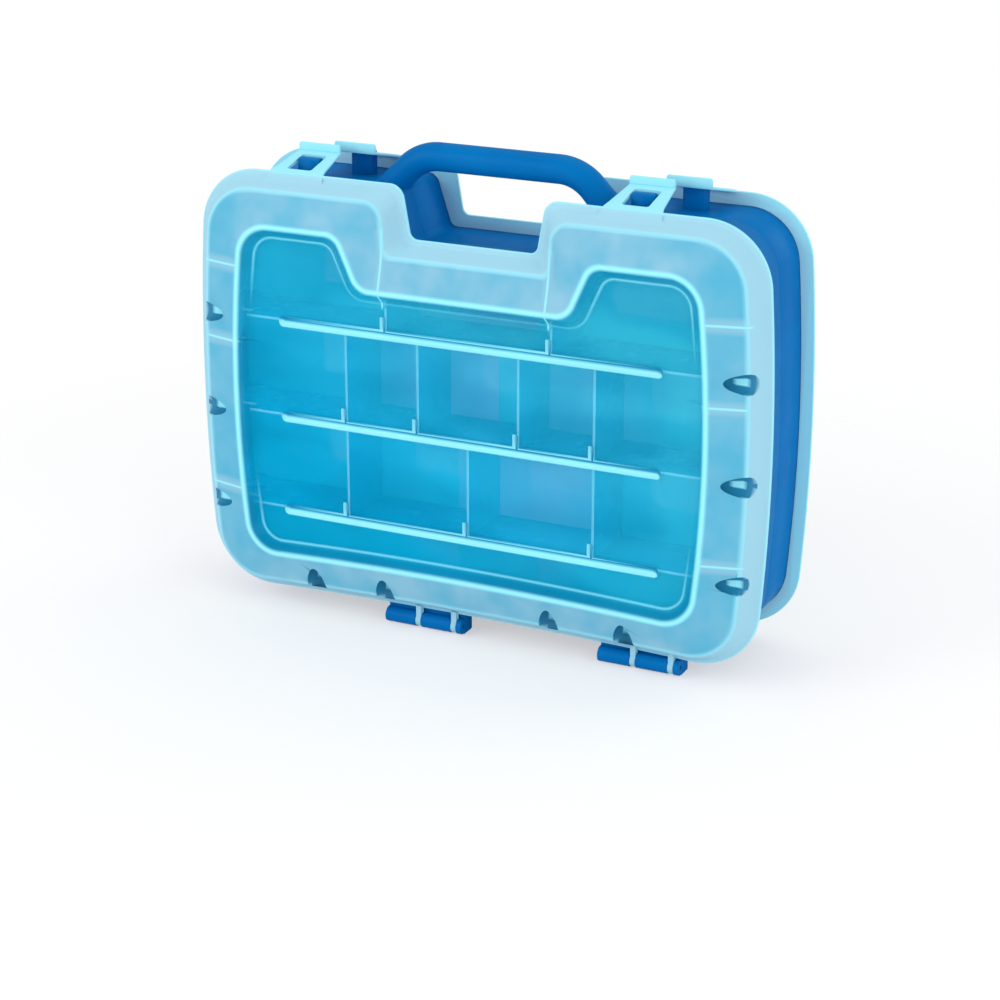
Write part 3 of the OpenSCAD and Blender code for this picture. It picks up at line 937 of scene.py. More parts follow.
@dataclass(frozen=True)
class CaseSizes:
    """Sizes of the part's source that more than one piece follows, in millimetres."""

    case_w: float = 434.0
    shoulder_h: float = 322.0
    body_d: float = 78.0
    lid_t: float = 2.2
    lid_d: float = 23.0
    edge_d: float = 15.0
    recess_d: float = 7.0
    edge_in: float = 10.0
    rim_t: float = 2.2
    rim_lip: float = 3.6
    seam_gap: float = 0.3
    wall_t: float = 2.6
    web_t: float = 2.0
    rows: tuple[float, ...] = (79.0, 149.0, 219.0)
    split_top: float = 62.4
    split_inner: float = 38.3
    split_outer: float = 94.4
    latches: tuple[float, ...] = (-136.0, 115.0)
    hinges: tuple[float, ...] = (-39.0, 127.0)
    hinge_l: float = 60.0
    knuckle_r: float = 5.5
    knuckle_t: float = 4.0
    knuckles: tuple[float, ...] = (26.0, 54.0)
    pin_r: float = 1.6
    pin_play: float = 0.06
    body_lean: float = 18.0
    plug: float = 1.4
    plug_gap: float = 0.4
    strap_reach: float = 32.0
    strap_rise: float = 9.0
    strap_t: float = 2.2
    strap_lip: float = 4.5
    lug_w: float = 16.0
    lug_l: float = 9.0
    lug_back: float = 15.0
    lug_proud: float = 2.0
    lug_gap: float = 1.6

    @property
    def rim(self) -> Outline:
        """Outline of the lids' rim flange, the widest one."""
        return Outline(
            half=self.case_w / 2, bow=8.0, top=self.shoulder_h, foot=12.6, arch=3.0, corner=46.0,
            valley_half=47.0, valley_z=285.0, fillet=6.0, shoulder=11.0, lean=10.0,
        )

    @property
    def seam(self) -> float:
        """Distance of the lids' seam from the middle."""
        return self.body_d / 2

    @property
    def crest(self) -> float:
        """Distance of a lid's crest from the middle."""
        return self.seam + self.lid_d

    @property
    def panel(self) -> float:
        """Distance of a lid's panel from the middle."""
        return self.crest - self.recess_d

    @property
    def shoulder(self) -> Outline:
        """Outline of a lid's rounded outer edge."""
        e = self.edge_in
        return self.rim.moved_in(e, e - 1, e - 2, self.rim.corner - 9, 5, 15, 3, e + 3)

    @property
    def border(self) -> Outline:
        """Outline of a lid's crest."""
        return self.shoulder.moved_in(29, 26, 25, 24, 14, 13, 24, 18)

    @property
    def floor(self) -> Outline:
        """Outline of a lid's panel."""
        return self.border.moved_in(8.5, 8.5, 8.5, 16, 16, 11, 24, 8.5)

    @property
    def body(self) -> Outline:
        """Outline of the centre body."""
        return self.rim.moved_in(9.5, 9.5, 9.5, self.rim.corner - 9.5, 6, 9, self.body_lean, 9.5)

    @property
    def tray(self) -> Outline:
        """Outline of a tray, inside the body's wall."""
        return self.body.thinner(self.wall_t)

    @property
    def wall_foot(self) -> Outline:
        """Outline of a lid's wall, where it leaves the rim flange."""
        return self.rim.between(self.shoulder, self.rim_lip / self.edge_in)

    @property
    def splits(self) -> list[tuple[float, int]]:
        """Places of the short dividers: offset from the middle, and row below."""
        outer, inner, top = self.split_outer, self.split_inner, self.split_top
        return [(-outer, 0), (0.0, 0), (outer, 0), (-outer, 1), (-inner, 1), (inner, 1),
                (outer, 1), (-top, 2), (top, 2)]

    def strap_z(self, d: float) -> float:
        """Height of a strap's top face at a distance d in front of the middle."""
        root, tip = self.seam + 5, self.seam - self.strap_reach
        return self.rim.top + self.strap_rise * (root - d) / (root - tip)

    @property
    def axis(self) -> Flat:
        """Place of the front hinge axis: Y and Z."""
        return -self.seam - 1.5, self.knuckle_r + 0.7


# ---- Lids -------------------------------------------------------------------------------------


@dataclass
class LidMoulding:
    """A lid: rim flange, rounded edge, border, crest and recessed panel over a hollow, with
    pressed channels, finger dents, inner webs, snap straps and hinge knuckles.

    Attributes:
        sizes: The sizes that it shares with the body.
        side: The face of the case that it closes.
        channel_half: Half the length of a long channel.
        channel_w: Width of a channel.
        channel_d: Depth of a channel.
        channel_wall: Wall behind a channel.
        stub_l: Reach of a cross channel above a long one.
        stub_w: Width of a cross channel.
        lip: How far a channel's edge is rounded over.
        web: Thickness of a web.
        dent_r: Radius of a finger dent at its mouth.
        dent_l: Length of a finger dent.
        dent_tip: Radius of a finger dent at its tip.
        dent_out: How far a finger dent's mouth lies outside the rounded edge.
        dent_front: How far its axis lies in front of that edge, at a side and at the foot.
        dent_feet: Offsets of the finger dents at the foot.
        dent_rings: Places of a dent's rings, as shares of its length.
        dent_sides: Points of each ring.
        core: Middle and half length of a dent's painted highlight, its bright core, as shares of
            its length.
        light: Direction of the painted light on the channels, as x and z.
    """

    sizes: CaseSizes
    side: Side
    channel_half: float = 141.0
    channel_w: float = 6.6
    channel_d: float = 2.6
    channel_wall: float = 1.6
    stub_l: float = 9.0
    stub_w: float = 3.4
    lip: float = 0.7
    web: float = 1.6
    dent_r: float = 8.0
    dent_l: float = 27.0
    dent_tip: float = 1.5
    dent_out: float = 3.0
    dent_front: Flat = (1.5, 0.5)
    dent_feet: tuple[float, ...] = (64.0, 120.0)
    dent_rings: tuple[float, ...] = (0.0, 0.12, 0.22, 0.32, 0.42, 0.52, 0.62, 0.74, 0.86, 0.93, 1.0)
    dent_sides: int = 40
    core: Flat = (0.42, 0.16)
    light: Flat = (0.42, 0.91)

    def build(self) -> bpy.types.Object:
        """Builds the lid and dresses it.

        Returns:
            The piece, riding on its lid's body.
        """
        s = self.sizes
        hollow = Solid.loft(softened(self.hollow_profile(), 1.0))
        hollow.cut(self.webs() + self.dents(s.lid_t))
        lid = Solid.loft(softened(self.skin_profile(), 1.4))
        lid.join(self.knuckles() + self.straps())
        lid.cut([hollow])
        back = s.panel - self.channel_d - self.channel_wall
        lid.join(self.channels(back, s.panel - s.lid_t + 1, self.channel_wall, 0.0))
        lid.cut(self.channels(s.panel - self.channel_d, s.panel + 1, 0.0, self.lip))
        lid.cut(self.dents(0) + self.windows() + self.bores())
        lid.turned(self.side.value)
        name = f"{self.side.label}_lid"
        piece = lid.finished(f"{name}_moulding")
        self.mark(piece.data)
        piece.data.materials.clear()
        piece.data.materials.append(LID_POLYPROPYLENE.material())
        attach(piece, name)
        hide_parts(name)
        return piece

    def skin_profile(self) -> list[Station]:
        """Places the outlines that the outer skin is lofted through.

        Returns:
            Its stations, from the rim over the rounded edge, the border and the crest to the
            panel.
        """
        s = self.sizes
        rim_d, edge, crest = s.seam + s.seam_gap, s.seam + s.edge_d, s.crest
        shoulder, border, floor = s.shoulder, s.border, s.floor
        return [
            (s.rim.thinner(0.4), rim_d),
            (s.rim, rim_d + 0.4),
            (s.rim, rim_d + s.rim_t - 0.4),
            (s.rim.thinner(0.5), rim_d + s.rim_t),
            (s.wall_foot, rim_d + s.rim_t + 1),
            (s.wall_foot.between(shoulder, 0.82), edge - 3),
            (shoulder.between(border, 0.01), edge - 0.6),
            (shoulder.between(border, 0.08), edge + 1),
            (shoulder.between(border, 0.22), edge + 2.2),
            (shoulder.between(border, 0.93), crest - 0.6),
            (border, crest),
            (border.between(floor, 0.3), crest - 0.8),
            (border.between(floor, 0.75), s.panel + 1.6),
            (floor, s.panel),
            (floor.thinner(1.5), s.panel),
        ]

    def hollow_profile(self) -> list[Station]:
        """Places the outlines that the hollow is lofted through.

        Returns:
            Its stations, one wall inside the skin's.
        """
        s = self.sizes
        t, edge, crest = s.lid_t, s.seam + s.edge_d, s.crest
        rim_d, inner = s.seam + s.seam_gap, s.panel - s.lid_t
        shoulder, border, floor = s.shoulder, s.border, s.floor
        return [
            (s.body.thinner(-s.plug_gap), s.seam - 1),
            (s.body.thinner(-s.plug_gap), rim_d + s.rim_t),
            (s.wall_foot.thinner(t), rim_d + s.rim_t + 1.6),
            (s.wall_foot.between(shoulder, 0.82).thinner(t), edge - 3.6),
            (shoulder.between(border, 0.08).thinner(t), edge - 1.4),
            (shoulder.between(border, 0.88).thinner(t), crest - t - 0.9),
            (border.between(floor, 0.16), crest - t - 0.6),
            (border.between(floor, 0.75).thinner(-t * 0.2), inner + 0.9),
            (border.between(floor, 0.9), inner),
        ]

    def channels(self, near: float, far: float, grow: float, lip: float) -> list[Solid]:
        """Solids of the channels in the panel, over the dividers.

        Args:
            near: Distance of their floor from the middle.
            far: Distance of their mouth from the middle.
            grow: Thickness that is added all round.
            lip: How far the edge at the panel is rounded over.

        Returns:
            One solid for each long channel and each cross channel.
        """
        s = self.sizes
        mouth = s.panel if lip else far

        def bar(ring: list[Flat], r: float) -> Solid:
            """Builds a channel with a round floor and a lip that is rounded over.

            Args:
                ring: Its outline, as points of x and z.
                r: Half its width.

            Returns:
                The channel's solid.
            """
            places = np.array(ring)
            middle = (places.max(axis=0) + places.min(axis=0)) / 2
            half = places - middle
            span = np.abs(half).max(axis=0)
            levels = []
            for a in (80, 60, 40, 20, 0):
                turn = math.radians(a)
                levels.append((near + self.channel_d * (1 - math.sin(turn)),
                               -0.9 * r * (1 - math.cos(turn))))
            levels[-1] = (mouth - lip, 0.0)
            levels += [(mouth - lip * 0.35, lip * 0.3), (mouth, lip),
                       (far, lip + (far - mouth))] if lip else [(far, 0.0)]
            return Solid([
                [(x, -depth, z) for x, z in half * (span + out) / span + middle]
                for depth, out in levels
            ])

        solids = []
        r = self.channel_w / 2 + grow
        for z in s.rows:
            ends = arc((self.channel_half, z), r, -90, 90, 12)
            ends += arc((-self.channel_half, z), r, 90, 270, 12)
            solids.append(bar(ends, r))
        w, reach = self.stub_w / 2 + grow, self.channel_w / 2 + self.stub_l + grow
        for x, row in s.splits:
            z = s.rows[row]
            ring = [(x - w, z), (x + w, z)] + arc((x + w - 1, z + reach - 1), 1, 0, 90, 4)
            ring += arc((x - w + 1, z + reach - 1), 1, 90, 180, 4)
            solids.append(bar(ring, w))
        return solids

    def webs(self) -> list[Solid]:
        """Builds the webs inside the border.

        Returns:
            Three webs at each side, and two below the valley's ends.
        """
        s = self.sizes
        near = s.panel - self.channel_d - self.channel_wall + 0.4
        half, inner = self.web / 2, s.floor.half - 8
        solids = []
        for sign in (-1, 1):
            low, high = sorted((sign * inner, sign * s.rim.half))
            for z in LID_POLYPROPYLENE.webs:
                solids.append(Solid.block((low, -s.crest, z - half), (high, -near, z + half)))
            x = sign * s.split_top
            solids.append(
                Solid.block((x - half, -s.crest, s.floor.valley_z - 4),
                            (x + half, -near, s.rim.valley_z))
            )
        return solids

    def dents(self, grow: float) -> list[Solid]:
        """The finger dents, as cones that point in across the border.

        Args:
            grow: Thickness that is added all round.

        Returns:
            One cone for each dent.
        """
        length = self.dent_l + self.dent_out + grow
        turns = [2 * math.pi * i / self.dent_sides for i in range(self.dent_sides)]
        solids = []
        for start, way in self.dent_axes():
            one = way.orthogonal().normalized()
            two = way.cross(one)
            rings = []
            for share in self.dent_rings:
                r = float(self.dent_radius(share)) + (grow if share < 1 else 0)
                middle = start + way * length * share
                rings.append([tuple(middle + (one * math.cos(a) + two * math.sin(a)) * r)
                              for a in turns])
            solids.append(Solid(rings))
        return solids

    def dent_axes(self) -> list[tuple[Vector, Vector]]:
        """Places the finger dents.

        Returns:
            The middle of each dent's mouth, and the way that it points.
        """
        s = self.sizes
        edge = s.seam + s.edge_d
        y_side, y_foot = (-edge - front for front in self.dent_front)
        foot = s.shoulder.foot + s.rim.arch - self.dent_out
        axes = []
        for sign in (-1, 1):
            x = sign * (s.shoulder.half + self.dent_out)
            axes += [(Vector((x, y_side, z)), Vector((-sign, 0, 0))) for z in s.rows]
            axes += [(Vector((sign * off, y_foot, foot)), Vector((0, 0, 1)))
                     for off in self.dent_feet]
        return axes

    def straps(self) -> list[Solid]:
        """Builds the snap straps, from the rim over the body's shoulders.

        Returns:
            The straps, each with a lip at its tip to lift it by.
        """
        s = self.sizes
        root, tip = s.seam + 5, s.seam - s.strap_reach
        t, r = s.strap_t, s.strap_t / 2
        solids = []
        for x in s.latches:
            across = [(root + 4, 23.0, -7.0), (root, 22.6, -2.6), (s.seam + 0.5, 21.0, -0.3),
                      (s.seam - 5, 19.6, 0.0), (tip + 8, 17.3, 0.0), (tip + 2.5, 16.6, 0.0)]
            rings = [self.strap_ring(x, half, d, s.strap_z(d) - r + sink, t, 0.0)
                     for d, half, sink in across]
            foot = s.strap_z(tip) - r
            for turn, up in ((30, 0.25), (60, 0.9), (90, 2.2), (90, s.strap_lip - 0.4)):
                rings.append(self.strap_ring(x, 16.4, tip - 0.2 - 0.4 * turn / 90, foot + up, t,
                                             turn))
            rings.append(self.strap_ring(x, 15.8, tip - 0.6, foot + s.strap_lip + r * 1.5, t * 0.7,
                                         90))
            rings.append(self.strap_ring(x, 15.2, tip - 0.6, foot + s.strap_lip + r * 1.9, t * 0.2,
                                         90))
            solids.append(Solid(rings))
        return solids

    def strap_ring(
        self, x: float, half: float, d: float, z: float, thick: float, turn: float
    ) -> list[Point]:
        """A cross section of a strap, with its edges rounded.

        Args:
            x: Middle of the strap.
            half: Half its width.
            d: Distance in front of the case's middle.
            z: Height of the section's middle.
            thick: Thickness there.
            turn: How far the strap is turned up towards the lip, in degrees.

        Returns:
            The section's points.
        """
        soft = min(0.9, thick / 2 - 0.05, half)
        cos, sin = math.cos(math.radians(turn)), math.sin(math.radians(turn))
        ring = []
        for cx, cz, start in ((half - soft, thick / 2 - soft, 0),
                              (soft - half, thick / 2 - soft, 90),
                              (soft - half, soft - thick / 2, 180),
                              (half - soft, soft - thick / 2, 270)):
            ring += [(x + px, -d - pz * sin, z + pz * cos)
                     for px, pz in arc((cx, cz), soft, start, start + 90, 4)]
        return ring

    def windows(self) -> list[Solid]:
        """Builds the cutters of the straps' windows, which the catch lugs snap into.

        Returns:
            One upright cutter with rounded corners for each strap.
        """
        s = self.sizes
        near, far = s.seam - 2.5, s.seam - s.lug_back - s.lug_l - s.lug_gap
        half, r = s.lug_w / 2 + s.lug_gap, 2.0
        solids = []
        for x in s.latches:
            ring = []
            for cx, cy, a in ((x + half - r, -far - r, 0), (x - half + r, -far - r, 90),
                              (x - half + r, -near + r, 180), (x + half - r, -near + r, 270)):
                ring += arc((cx, cy), r, a, a + 90, 4)
            solids.append(Solid([[(px, py, z) for px, py in ring]
                                 for z in (s.rim.top - 8, s.rim.top + s.strap_rise + 4)]))
        return solids

    def knuckles(self) -> list[Solid]:
        """Builds the knuckles that hang from the rim on the hinge axis.

        Returns:
            A rod and the block above it for each knuckle.
        """
        s = self.sizes
        y, z = s.axis
        solids = []
        for middle in s.hinges:
            for place in s.knuckles:
                x0 = middle - s.hinge_l / 2 + place - s.knuckle_t / 2
                x1 = x0 + s.knuckle_t
                solids.append(Solid.rod(x0, x1, y, z, s.knuckle_r - 0.5))
                solids.append(Solid.block(
                    (x0, y - s.knuckle_r + 2, z),
                    (x1, y + 0.8, s.rim.foot + s.rim.arch + 2),
                ))
        return solids

    def bores(self) -> list[Solid]:
        """The bores of the knuckles for the hinge pins."""
        s = self.sizes
        y, z = s.axis
        return [
            Solid.rod(m - s.hinge_l / 2 + p - s.knuckle_t, m - s.hinge_l / 2 + p + s.knuckle_t,
                      y, z, s.pin_r + s.pin_play)
            for m in s.hinges for p in s.knuckles
        ]

    def mark(self, mesh: bpy.types.Mesh) -> None:
        """Writes how frosted the lid is at each of its points, and how much painted light, on
        bright edges, and painted shade it gets there.

        Args:
            mesh: The finished mesh, in metres.
        """
        s = self.sizes
        points = np.zeros(len(mesh.vertices) * 3)
        mesh.vertices.foreach_get("co", points)
        points = points.reshape(-1, 3) / MM
        if self.side is Side.REAR:
            points[:, :2] *= -1
        flat, depth = points[:, (0, 2)], -points[:, 1]
        rim, edge, crest, floor = (
            inside(flat, outline.points()) for outline in (s.rim, s.shoulder, s.border, s.floor)
        )
        marks = {"frost": np.clip(0.5 - crest / 7, 0, 0.5) + np.clip(0.5 - edge / 8, 0, 0.5)}
        outer = depth > s.crest - 1.8
        recess = (depth > s.panel - 0.3) & (crest > 0) & (depth < s.crest - 0.2)
        groove = self.groove_light(flat, depth)
        dent = self.dent_light(points)
        ends = np.clip((np.abs(flat[:, 1] - 165) - 60) / 40, 0, 1)
        # Painted light: highlights along the crest, the panel's edge near its ends, the rim and the
        # rounded edge, on the channels' lit walls and in the dents' bright cores.
        marks["painted_light"] = np.max([
            ridge(crest, 1.3, 2.2, 0.95) * outer,
            ridge(floor, 1, 1.2, 0.6) * ends * recess,
            np.clip(1.2 - rim / 0.8, 0, 0.75) * (depth < s.seam + 3),
            ridge(edge - 1.5, 1.2, 2.5, 0.4) * (depth > s.seam + s.edge_d),
            np.clip(groove * 3 + 0.2, 0, 1) * (groove > 0.02), np.clip(dent, 0, 1),
        ], axis=0)
        # Painted shade: on the recess wall inside the crest, stronger at the foot and the top, on
        # the channels' shaded walls and inside the dents.
        low = np.maximum(np.clip((110 - flat[:, 1]) / 40, 0.15, 0.85),
                         np.clip((flat[:, 1] - 235) / 30, 0, 0.6))
        marks["shade"] = np.max([
            ridge(crest - 4.5, 1.3, 3.5, 1) * low * recess,
            np.clip(-groove * 5, 0, 1), np.clip(-dent, 0, 1),
        ], axis=0)
        for name, values in marks.items():
            layer = mesh.attributes.new(name, "FLOAT", "POINT")
            layer.data.foreach_set("value", values.astype(np.float32))

    def groove_light(self, flat: np.ndarray, depth: np.ndarray) -> np.ndarray:
        """How much a channel's walls turn towards the light, which sets their painted light and
        painted shade.

        Args:
            flat: The mesh's points, as rows of x and z.
            depth: Their distances in front of the middle.

        Returns:
            1 on a wall that faces up and right, -1 on one that faces away, 0 elsewhere.
        """
        s = self.sizes
        toward = np.array(self.light)
        runs = [((-self.channel_half, z), (self.channel_half, z), self.channel_w / 2)
                for z in s.rows]
        runs += [((x, s.rows[row] + self.channel_w / 2),
                  (x, s.rows[row] + self.channel_w / 2 + self.stub_l), self.stub_w / 2)
                 for x, row in s.splits]
        out = np.zeros(len(flat))
        within = (depth > s.panel - self.channel_d - 0.05) & (depth < s.panel - 0.02)
        for start, end, r in runs:
            a, way = np.array(start), np.array(end) - np.array(start)
            t = np.clip(((flat - a) @ way) / (way @ way), 0, 1)
            off = a + t[:, None] * way - flat
            near = within & (np.hypot(*off.T) < r + self.lip * 0.5)
            out = np.where(near, off @ toward / r, out)
        return out

    def dent_light(self, points: np.ndarray) -> np.ndarray:
        """How much painted light or painted shade a finger dent gets: painted shade inside, with a
        painted highlight at its bright core. Its mouth stays unmarked, so the border around it does
        too.

        Args:
            points: The mesh's points.

        Returns:
            Up to 1 on a dent's floor, down to -1 on its walls, 0 elsewhere.
        """
        out = np.zeros(len(points))
        length = self.dent_l + self.dent_out
        for start, way in self.dent_axes():
            from_start = points - np.array(start)
            along = from_start @ np.array(way)
            off = from_start - along[:, None] * np.array(way)
            reach = np.linalg.norm(off, axis=1)
            share = along / length
            r = self.dent_radius(share)
            one = way.orthogonal().normalized()
            turn = np.arctan2(off @ np.array(way.cross(one)), off @ np.array(one))
            place = turn / (2 * math.pi) * self.dent_sides
            from_ring = np.min(np.abs(share[:, None] - np.array(self.dent_rings)), axis=1)
            on_wall = (
                (from_ring * length < 0.01) & (np.abs(place - np.round(place)) < 0.01)
                & (np.abs(reach - r) < 0.3)
            )
            back = off[:, 1] / np.maximum(reach, 0.1)
            core = (back > 0.9) & (np.abs(share - self.core[0]) < self.core[1])
            out = np.where(on_wall, np.where(core, 0.95, -1.0), out)
        return out

    def dent_radius(self, share: np.ndarray) -> np.ndarray:
        """Shapes the finger dents, which are blunt at the mouth and pointed at the tip.

        Args:
            share: Places along a dent, as shares of its length.

        Returns:
            The dent's radius at each of them.
        """
        return np.interp(share, (0.0, 0.3, 0.6, 0.93, 1.0), (
            self.dent_r, self.dent_r * 0.86, self.dent_r * 0.6, self.dent_tip + 0.4,
            self.dent_tip * 0.4,
        ))


def ridge(off: np.ndarray, start: float, width: float, most: float) -> np.ndarray:
    """A mark along a line, which fades to both sides of it.

    Args:
        off: How far each point lies from the line.
        start: The mark on the line, before it is limited.
        width: Distance over which the mark falls by 1.
        most: The most that the mark may be.

    Returns:
        One mark for each point.
    """
    return np.clip(start - np.abs(off) / width, 0, most)


def inside(points: np.ndarray, loop: Sequence[Flat]) -> np.ndarray:
    """How far points lie inside a closed loop, or outside it as a negative number.

    Args:
        points: Rows of two coordinates.
        loop: The loop's points, anticlockwise.

    Returns:
        One distance for each point.
    """
    start = np.array(loop)
    end = np.roll(start, -1, axis=0)
    way = end - start
    length = (way**2).sum(axis=1)
    best = np.full(len(points), np.inf)
    crossings = np.zeros(len(points), int)
    for a, b, w, l in zip(start, end, way, length):
        t = np.clip(((points - a) @ w) / l, 0, 1)
        best = np.minimum(best, np.hypot(*(points - a - t[:, None] * w).T))
        straddles = (a[1] > points[:, 1]) != (b[1] > points[:, 1])
        if a[1] != b[1]:
            at = a[0] + (points[:, 1] - a[1]) * w[0] / w[1]
            crossings += straddles & (points[:, 0] < at)
    return np.where(crossings % 2 == 1, best, -best)


# ---- Centre body ------------------------------------------------------------------------------


@dataclass
class CentreBody:
    """The blue body: an outer wall with a parting line that plugs into both lids, catch lugs,
    hinge blocks, and ribs that hold the long dividers' ends.

    Attributes:
        sizes: The sizes that it shares with the lids.
        block_back: Depth of a hinge block.
        block_gap: How far it lies behind the seam.
        knuckle_gap: Clearance at the sides of a lid's knuckle.
        divider_t: Thickness of a divider.
        divider_play: Clearance at each face of a divider between its ribs.
        rib: Thickness of a rib.
        rib_in: Reach of a rib inside the tray's wall.
    """

    sizes: CaseSizes
    block_back: float = 12.0
    block_gap: float = 0.3
    knuckle_gap: float = 0.3
    divider_t: float = 1.8
    divider_play: float = 0.1
    rib: float = 1.4
    rib_in: float = 5.0

    def build(self) -> bpy.types.Object:
        """Builds the body and dresses it.

        Returns:
            The piece, riding on the case.
        """
        s = self.sizes
        outline, end = s.body, s.seam + s.plug
        half = [(outline, 0.5), (outline, end - 0.5), (outline.thinner(0.5), end)]
        body = Solid.loft([(ring, -d) for ring, d in reversed(half)]
                          + [(outline.thinner(0.25), 0.0)] + half)
        for side in Side:
            body.join(tool.turned(side.value) for tool in self.lugs() + self.blocks())
        body.cut([Solid.slab(s.tray, -end - 1, end + 1)])
        for side in Side:
            body.cut(tool.turned(side.value) for tool in self.slots())
        for side in Side:
            body.join(tool.turned(side.value) for tool in self.ribs())
        piece = body.finished("centre_body_moulding")
        piece.data.materials.clear()
        piece.data.materials.append(BODY_ABS.material())
        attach(piece, "case")
        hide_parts("centre_body")
        return piece

    def lugs(self) -> list[Solid]:
        """Builds the catch lugs on the front half of the shoulders.

        Returns:
            The lugs, each with an upright striking face and a sloped back.
        """
        s = self.sizes
        face = s.seam - s.lug_back
        base = s.body.top - s.wall_t
        top = s.strap_z(face) + s.lug_proud
        back = -face + s.lug_l
        profile = [(-face, base), (back, base), (back, top - 2.2), (back - 1.6, top - 0.4),
                   (back - 2.6, top), (-face + 1.0, top), (-face + 0.3, top - 0.3),
                   (-face, top - 1.0)]
        solids = []
        for x in s.latches:
            half = s.lug_w / 2
            middle = (-face + s.lug_l / 2, base)
            rings = []
            for at, share in ((-half, 0.9), (-half + 0.7, 1.0), (half - 0.7, 1.0), (half, 0.9)):
                rings.append([(x + at, middle[0] + (y - middle[0]) * share,
                               base + (z - base) * (share * 0.4 + 0.6)) for y, z in profile])
            solids.append(Solid(rings))
        return solids

    def blocks(self) -> list[Solid]:
        """Builds the blue halves of the front hinges.

        Returns:
            The feet under the case, and the knuckle along each.
        """
        s = self.sizes
        y, z = s.axis
        r = s.knuckle_r
        foot = s.body.foot + s.rim.arch + 1
        solids = []
        for x in s.hinges:
            x0, x1 = x - s.hinge_l / 2, x + s.hinge_l / 2
            front = -s.seam + self.block_gap
            back = front + self.block_back
            solids.append(Solid.prism(x0, x1, [
                (front, 0), (back - 1.2, 0), (back - 0.35, 0.35), (back, 1.2), (back, foot),
                (front, foot)]))
            solids.append(Solid.block((x0, y, z - r), (x1, y + 2.5, z + r)))
            solids.append(Solid.rod(x0, x1, y, z, r))
        return solids

    def slots(self) -> list[Solid]:
        """Builds the cutters of the front hinge blocks.

        Returns:
            The slots for the lid's knuckles, and the bores for the pins.
        """
        s = self.sizes
        y, z = s.axis
        solids = []
        for middle in s.hinges:
            x0 = middle - s.hinge_l / 2
            for place in s.knuckles:
                half = s.knuckle_t / 2 + self.knuckle_gap
                low, high = x0 + place - half, x0 + place + half
                solids.append(Solid.block((low, y - s.knuckle_r - 1, -1),
                                          (high, y + 4.4, s.rim.foot)))
                solids.append(Solid.rod(low, high, y, z, s.knuckle_r + 0.8))
            solids.append(Solid.rod(x0 + 1, x0 + s.hinge_l + 1, y, z, s.pin_r))
        return solids

    def ribs(self) -> list[Solid]:
        """Builds the ribs on the tray's side walls that hold the long dividers' ends.

        Returns:
            A pair of ribs for each end of each row.
        """
        s = self.sizes
        solids = []
        for sign in (-1, 1):
            for z in s.rows:
                for up in (-1, 1):
                    low, high = sorted((sign * (s.tray.half - s.tray.bow - self.rib_in),
                                        sign * (s.body.half - s.wall_t / 2)))
                    middle = z + up * (self.divider_t / 2 + self.divider_play + self.rib / 2)
                    rib = Solid.block((low, -s.seam, middle - self.rib / 2),
                                      (high, -s.web_t / 2 + 0.2, middle + self.rib / 2))
                    solids.append(rib.keep([Solid.slab(s.tray.thinner(-0.5), 0, s.seam)]))
        return solids


# ---- Handle -----------------------------------------------------------------------------------


@dataclass
class CarryHandle:
    """The carrying handle: a round bar with two bends, whose legs swell into the shoulders.

    Attributes:
        sizes: The sizes that it shares with the body.
        bar_d: Diameter of the bar.
        rise: Height of the handle's top above the shoulders.
        grip_half: Half the length of the straight grip.
        bend: Radius of the bends, on the bar's centre line.
        slope: Slope of the legs, in degrees below level.
        swell: How much thicker a leg is at its end than the grip.
        past: How far a leg runs on below the shoulders, in diameters of the bar.
    """

    sizes: CaseSizes
    bar_d: float = 20.0
    rise: float = 22.0
    grip_half: float = 45.0
    bend: float = 34.0
    slope: float = 47.0
    swell: float = 0.5
    past: float = 1.4

    SIDES = 48
    GRIP_STEPS = 5
    BEND_STEPS = 14
    LEG_STEPS = 12

    def stations(self) -> list[tuple[float, float, float, float]]:
        """Places the bar's cross sections, along its right half.

        Returns:
            For each one x, z, heading in degrees, and swell.
        """
        s = self.sizes
        top = s.rim.top + self.rise - self.bar_d / 2
        centre = top - self.bend
        out = [(x, top, 0.0, 1.0) for x in np.linspace(0, self.grip_half, self.GRIP_STEPS + 1)]
        for i in range(1, self.BEND_STEPS + 1):
            a = math.radians(self.slope * i / self.BEND_STEPS)
            out.append((self.grip_half + self.bend * math.sin(a),
                        centre + self.bend * math.cos(a), -math.degrees(a), 1.0))
        x, z = out[-1][:2]
        a = math.radians(self.slope)
        length = (z - s.body.top) / math.sin(a) + self.past * self.bar_d
        for i in range(1, self.LEG_STEPS + 1):
            share = i / self.LEG_STEPS
            out.append((x + share * length * math.cos(a), z - share * length * math.sin(a),
                        -self.slope, 1 + self.swell * share**2))
        return out

    def build(self) -> bpy.types.Object:
        """Builds the handle and dresses it.

        Returns:
            The piece, riding on the case.
        """
        right = self.stations()
        left = [(-x, z, -turn, swell) for x, z, turn, swell in reversed(right[1:])]
        rings = []
        for x, z, turn, swell in left + right:
            heading = math.radians(turn)
            ring = []
            for i in range(self.SIDES):
                a = 2 * math.pi * i / self.SIDES
                r = self.bar_d / 2 * swell
                ring.append((x - math.sin(heading) * r * math.cos(a), r * math.sin(a),
                             z + math.cos(heading) * r * math.cos(a)))
            rings.append(ring)
        s = self.sizes
        handle = Solid(rings).cut([Solid.slab(s.body.thinner(0.05), -s.seam, s.seam)])
        piece = handle.finished("carry_handle_bar")
        piece.data.materials.clear()
        piece.data.materials.append(BODY_ABS.material())
        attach(piece, "case")
        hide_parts("carry_handle")
        return piece


# ---- CAD nodes that stay ----------------------------------------------------------------------


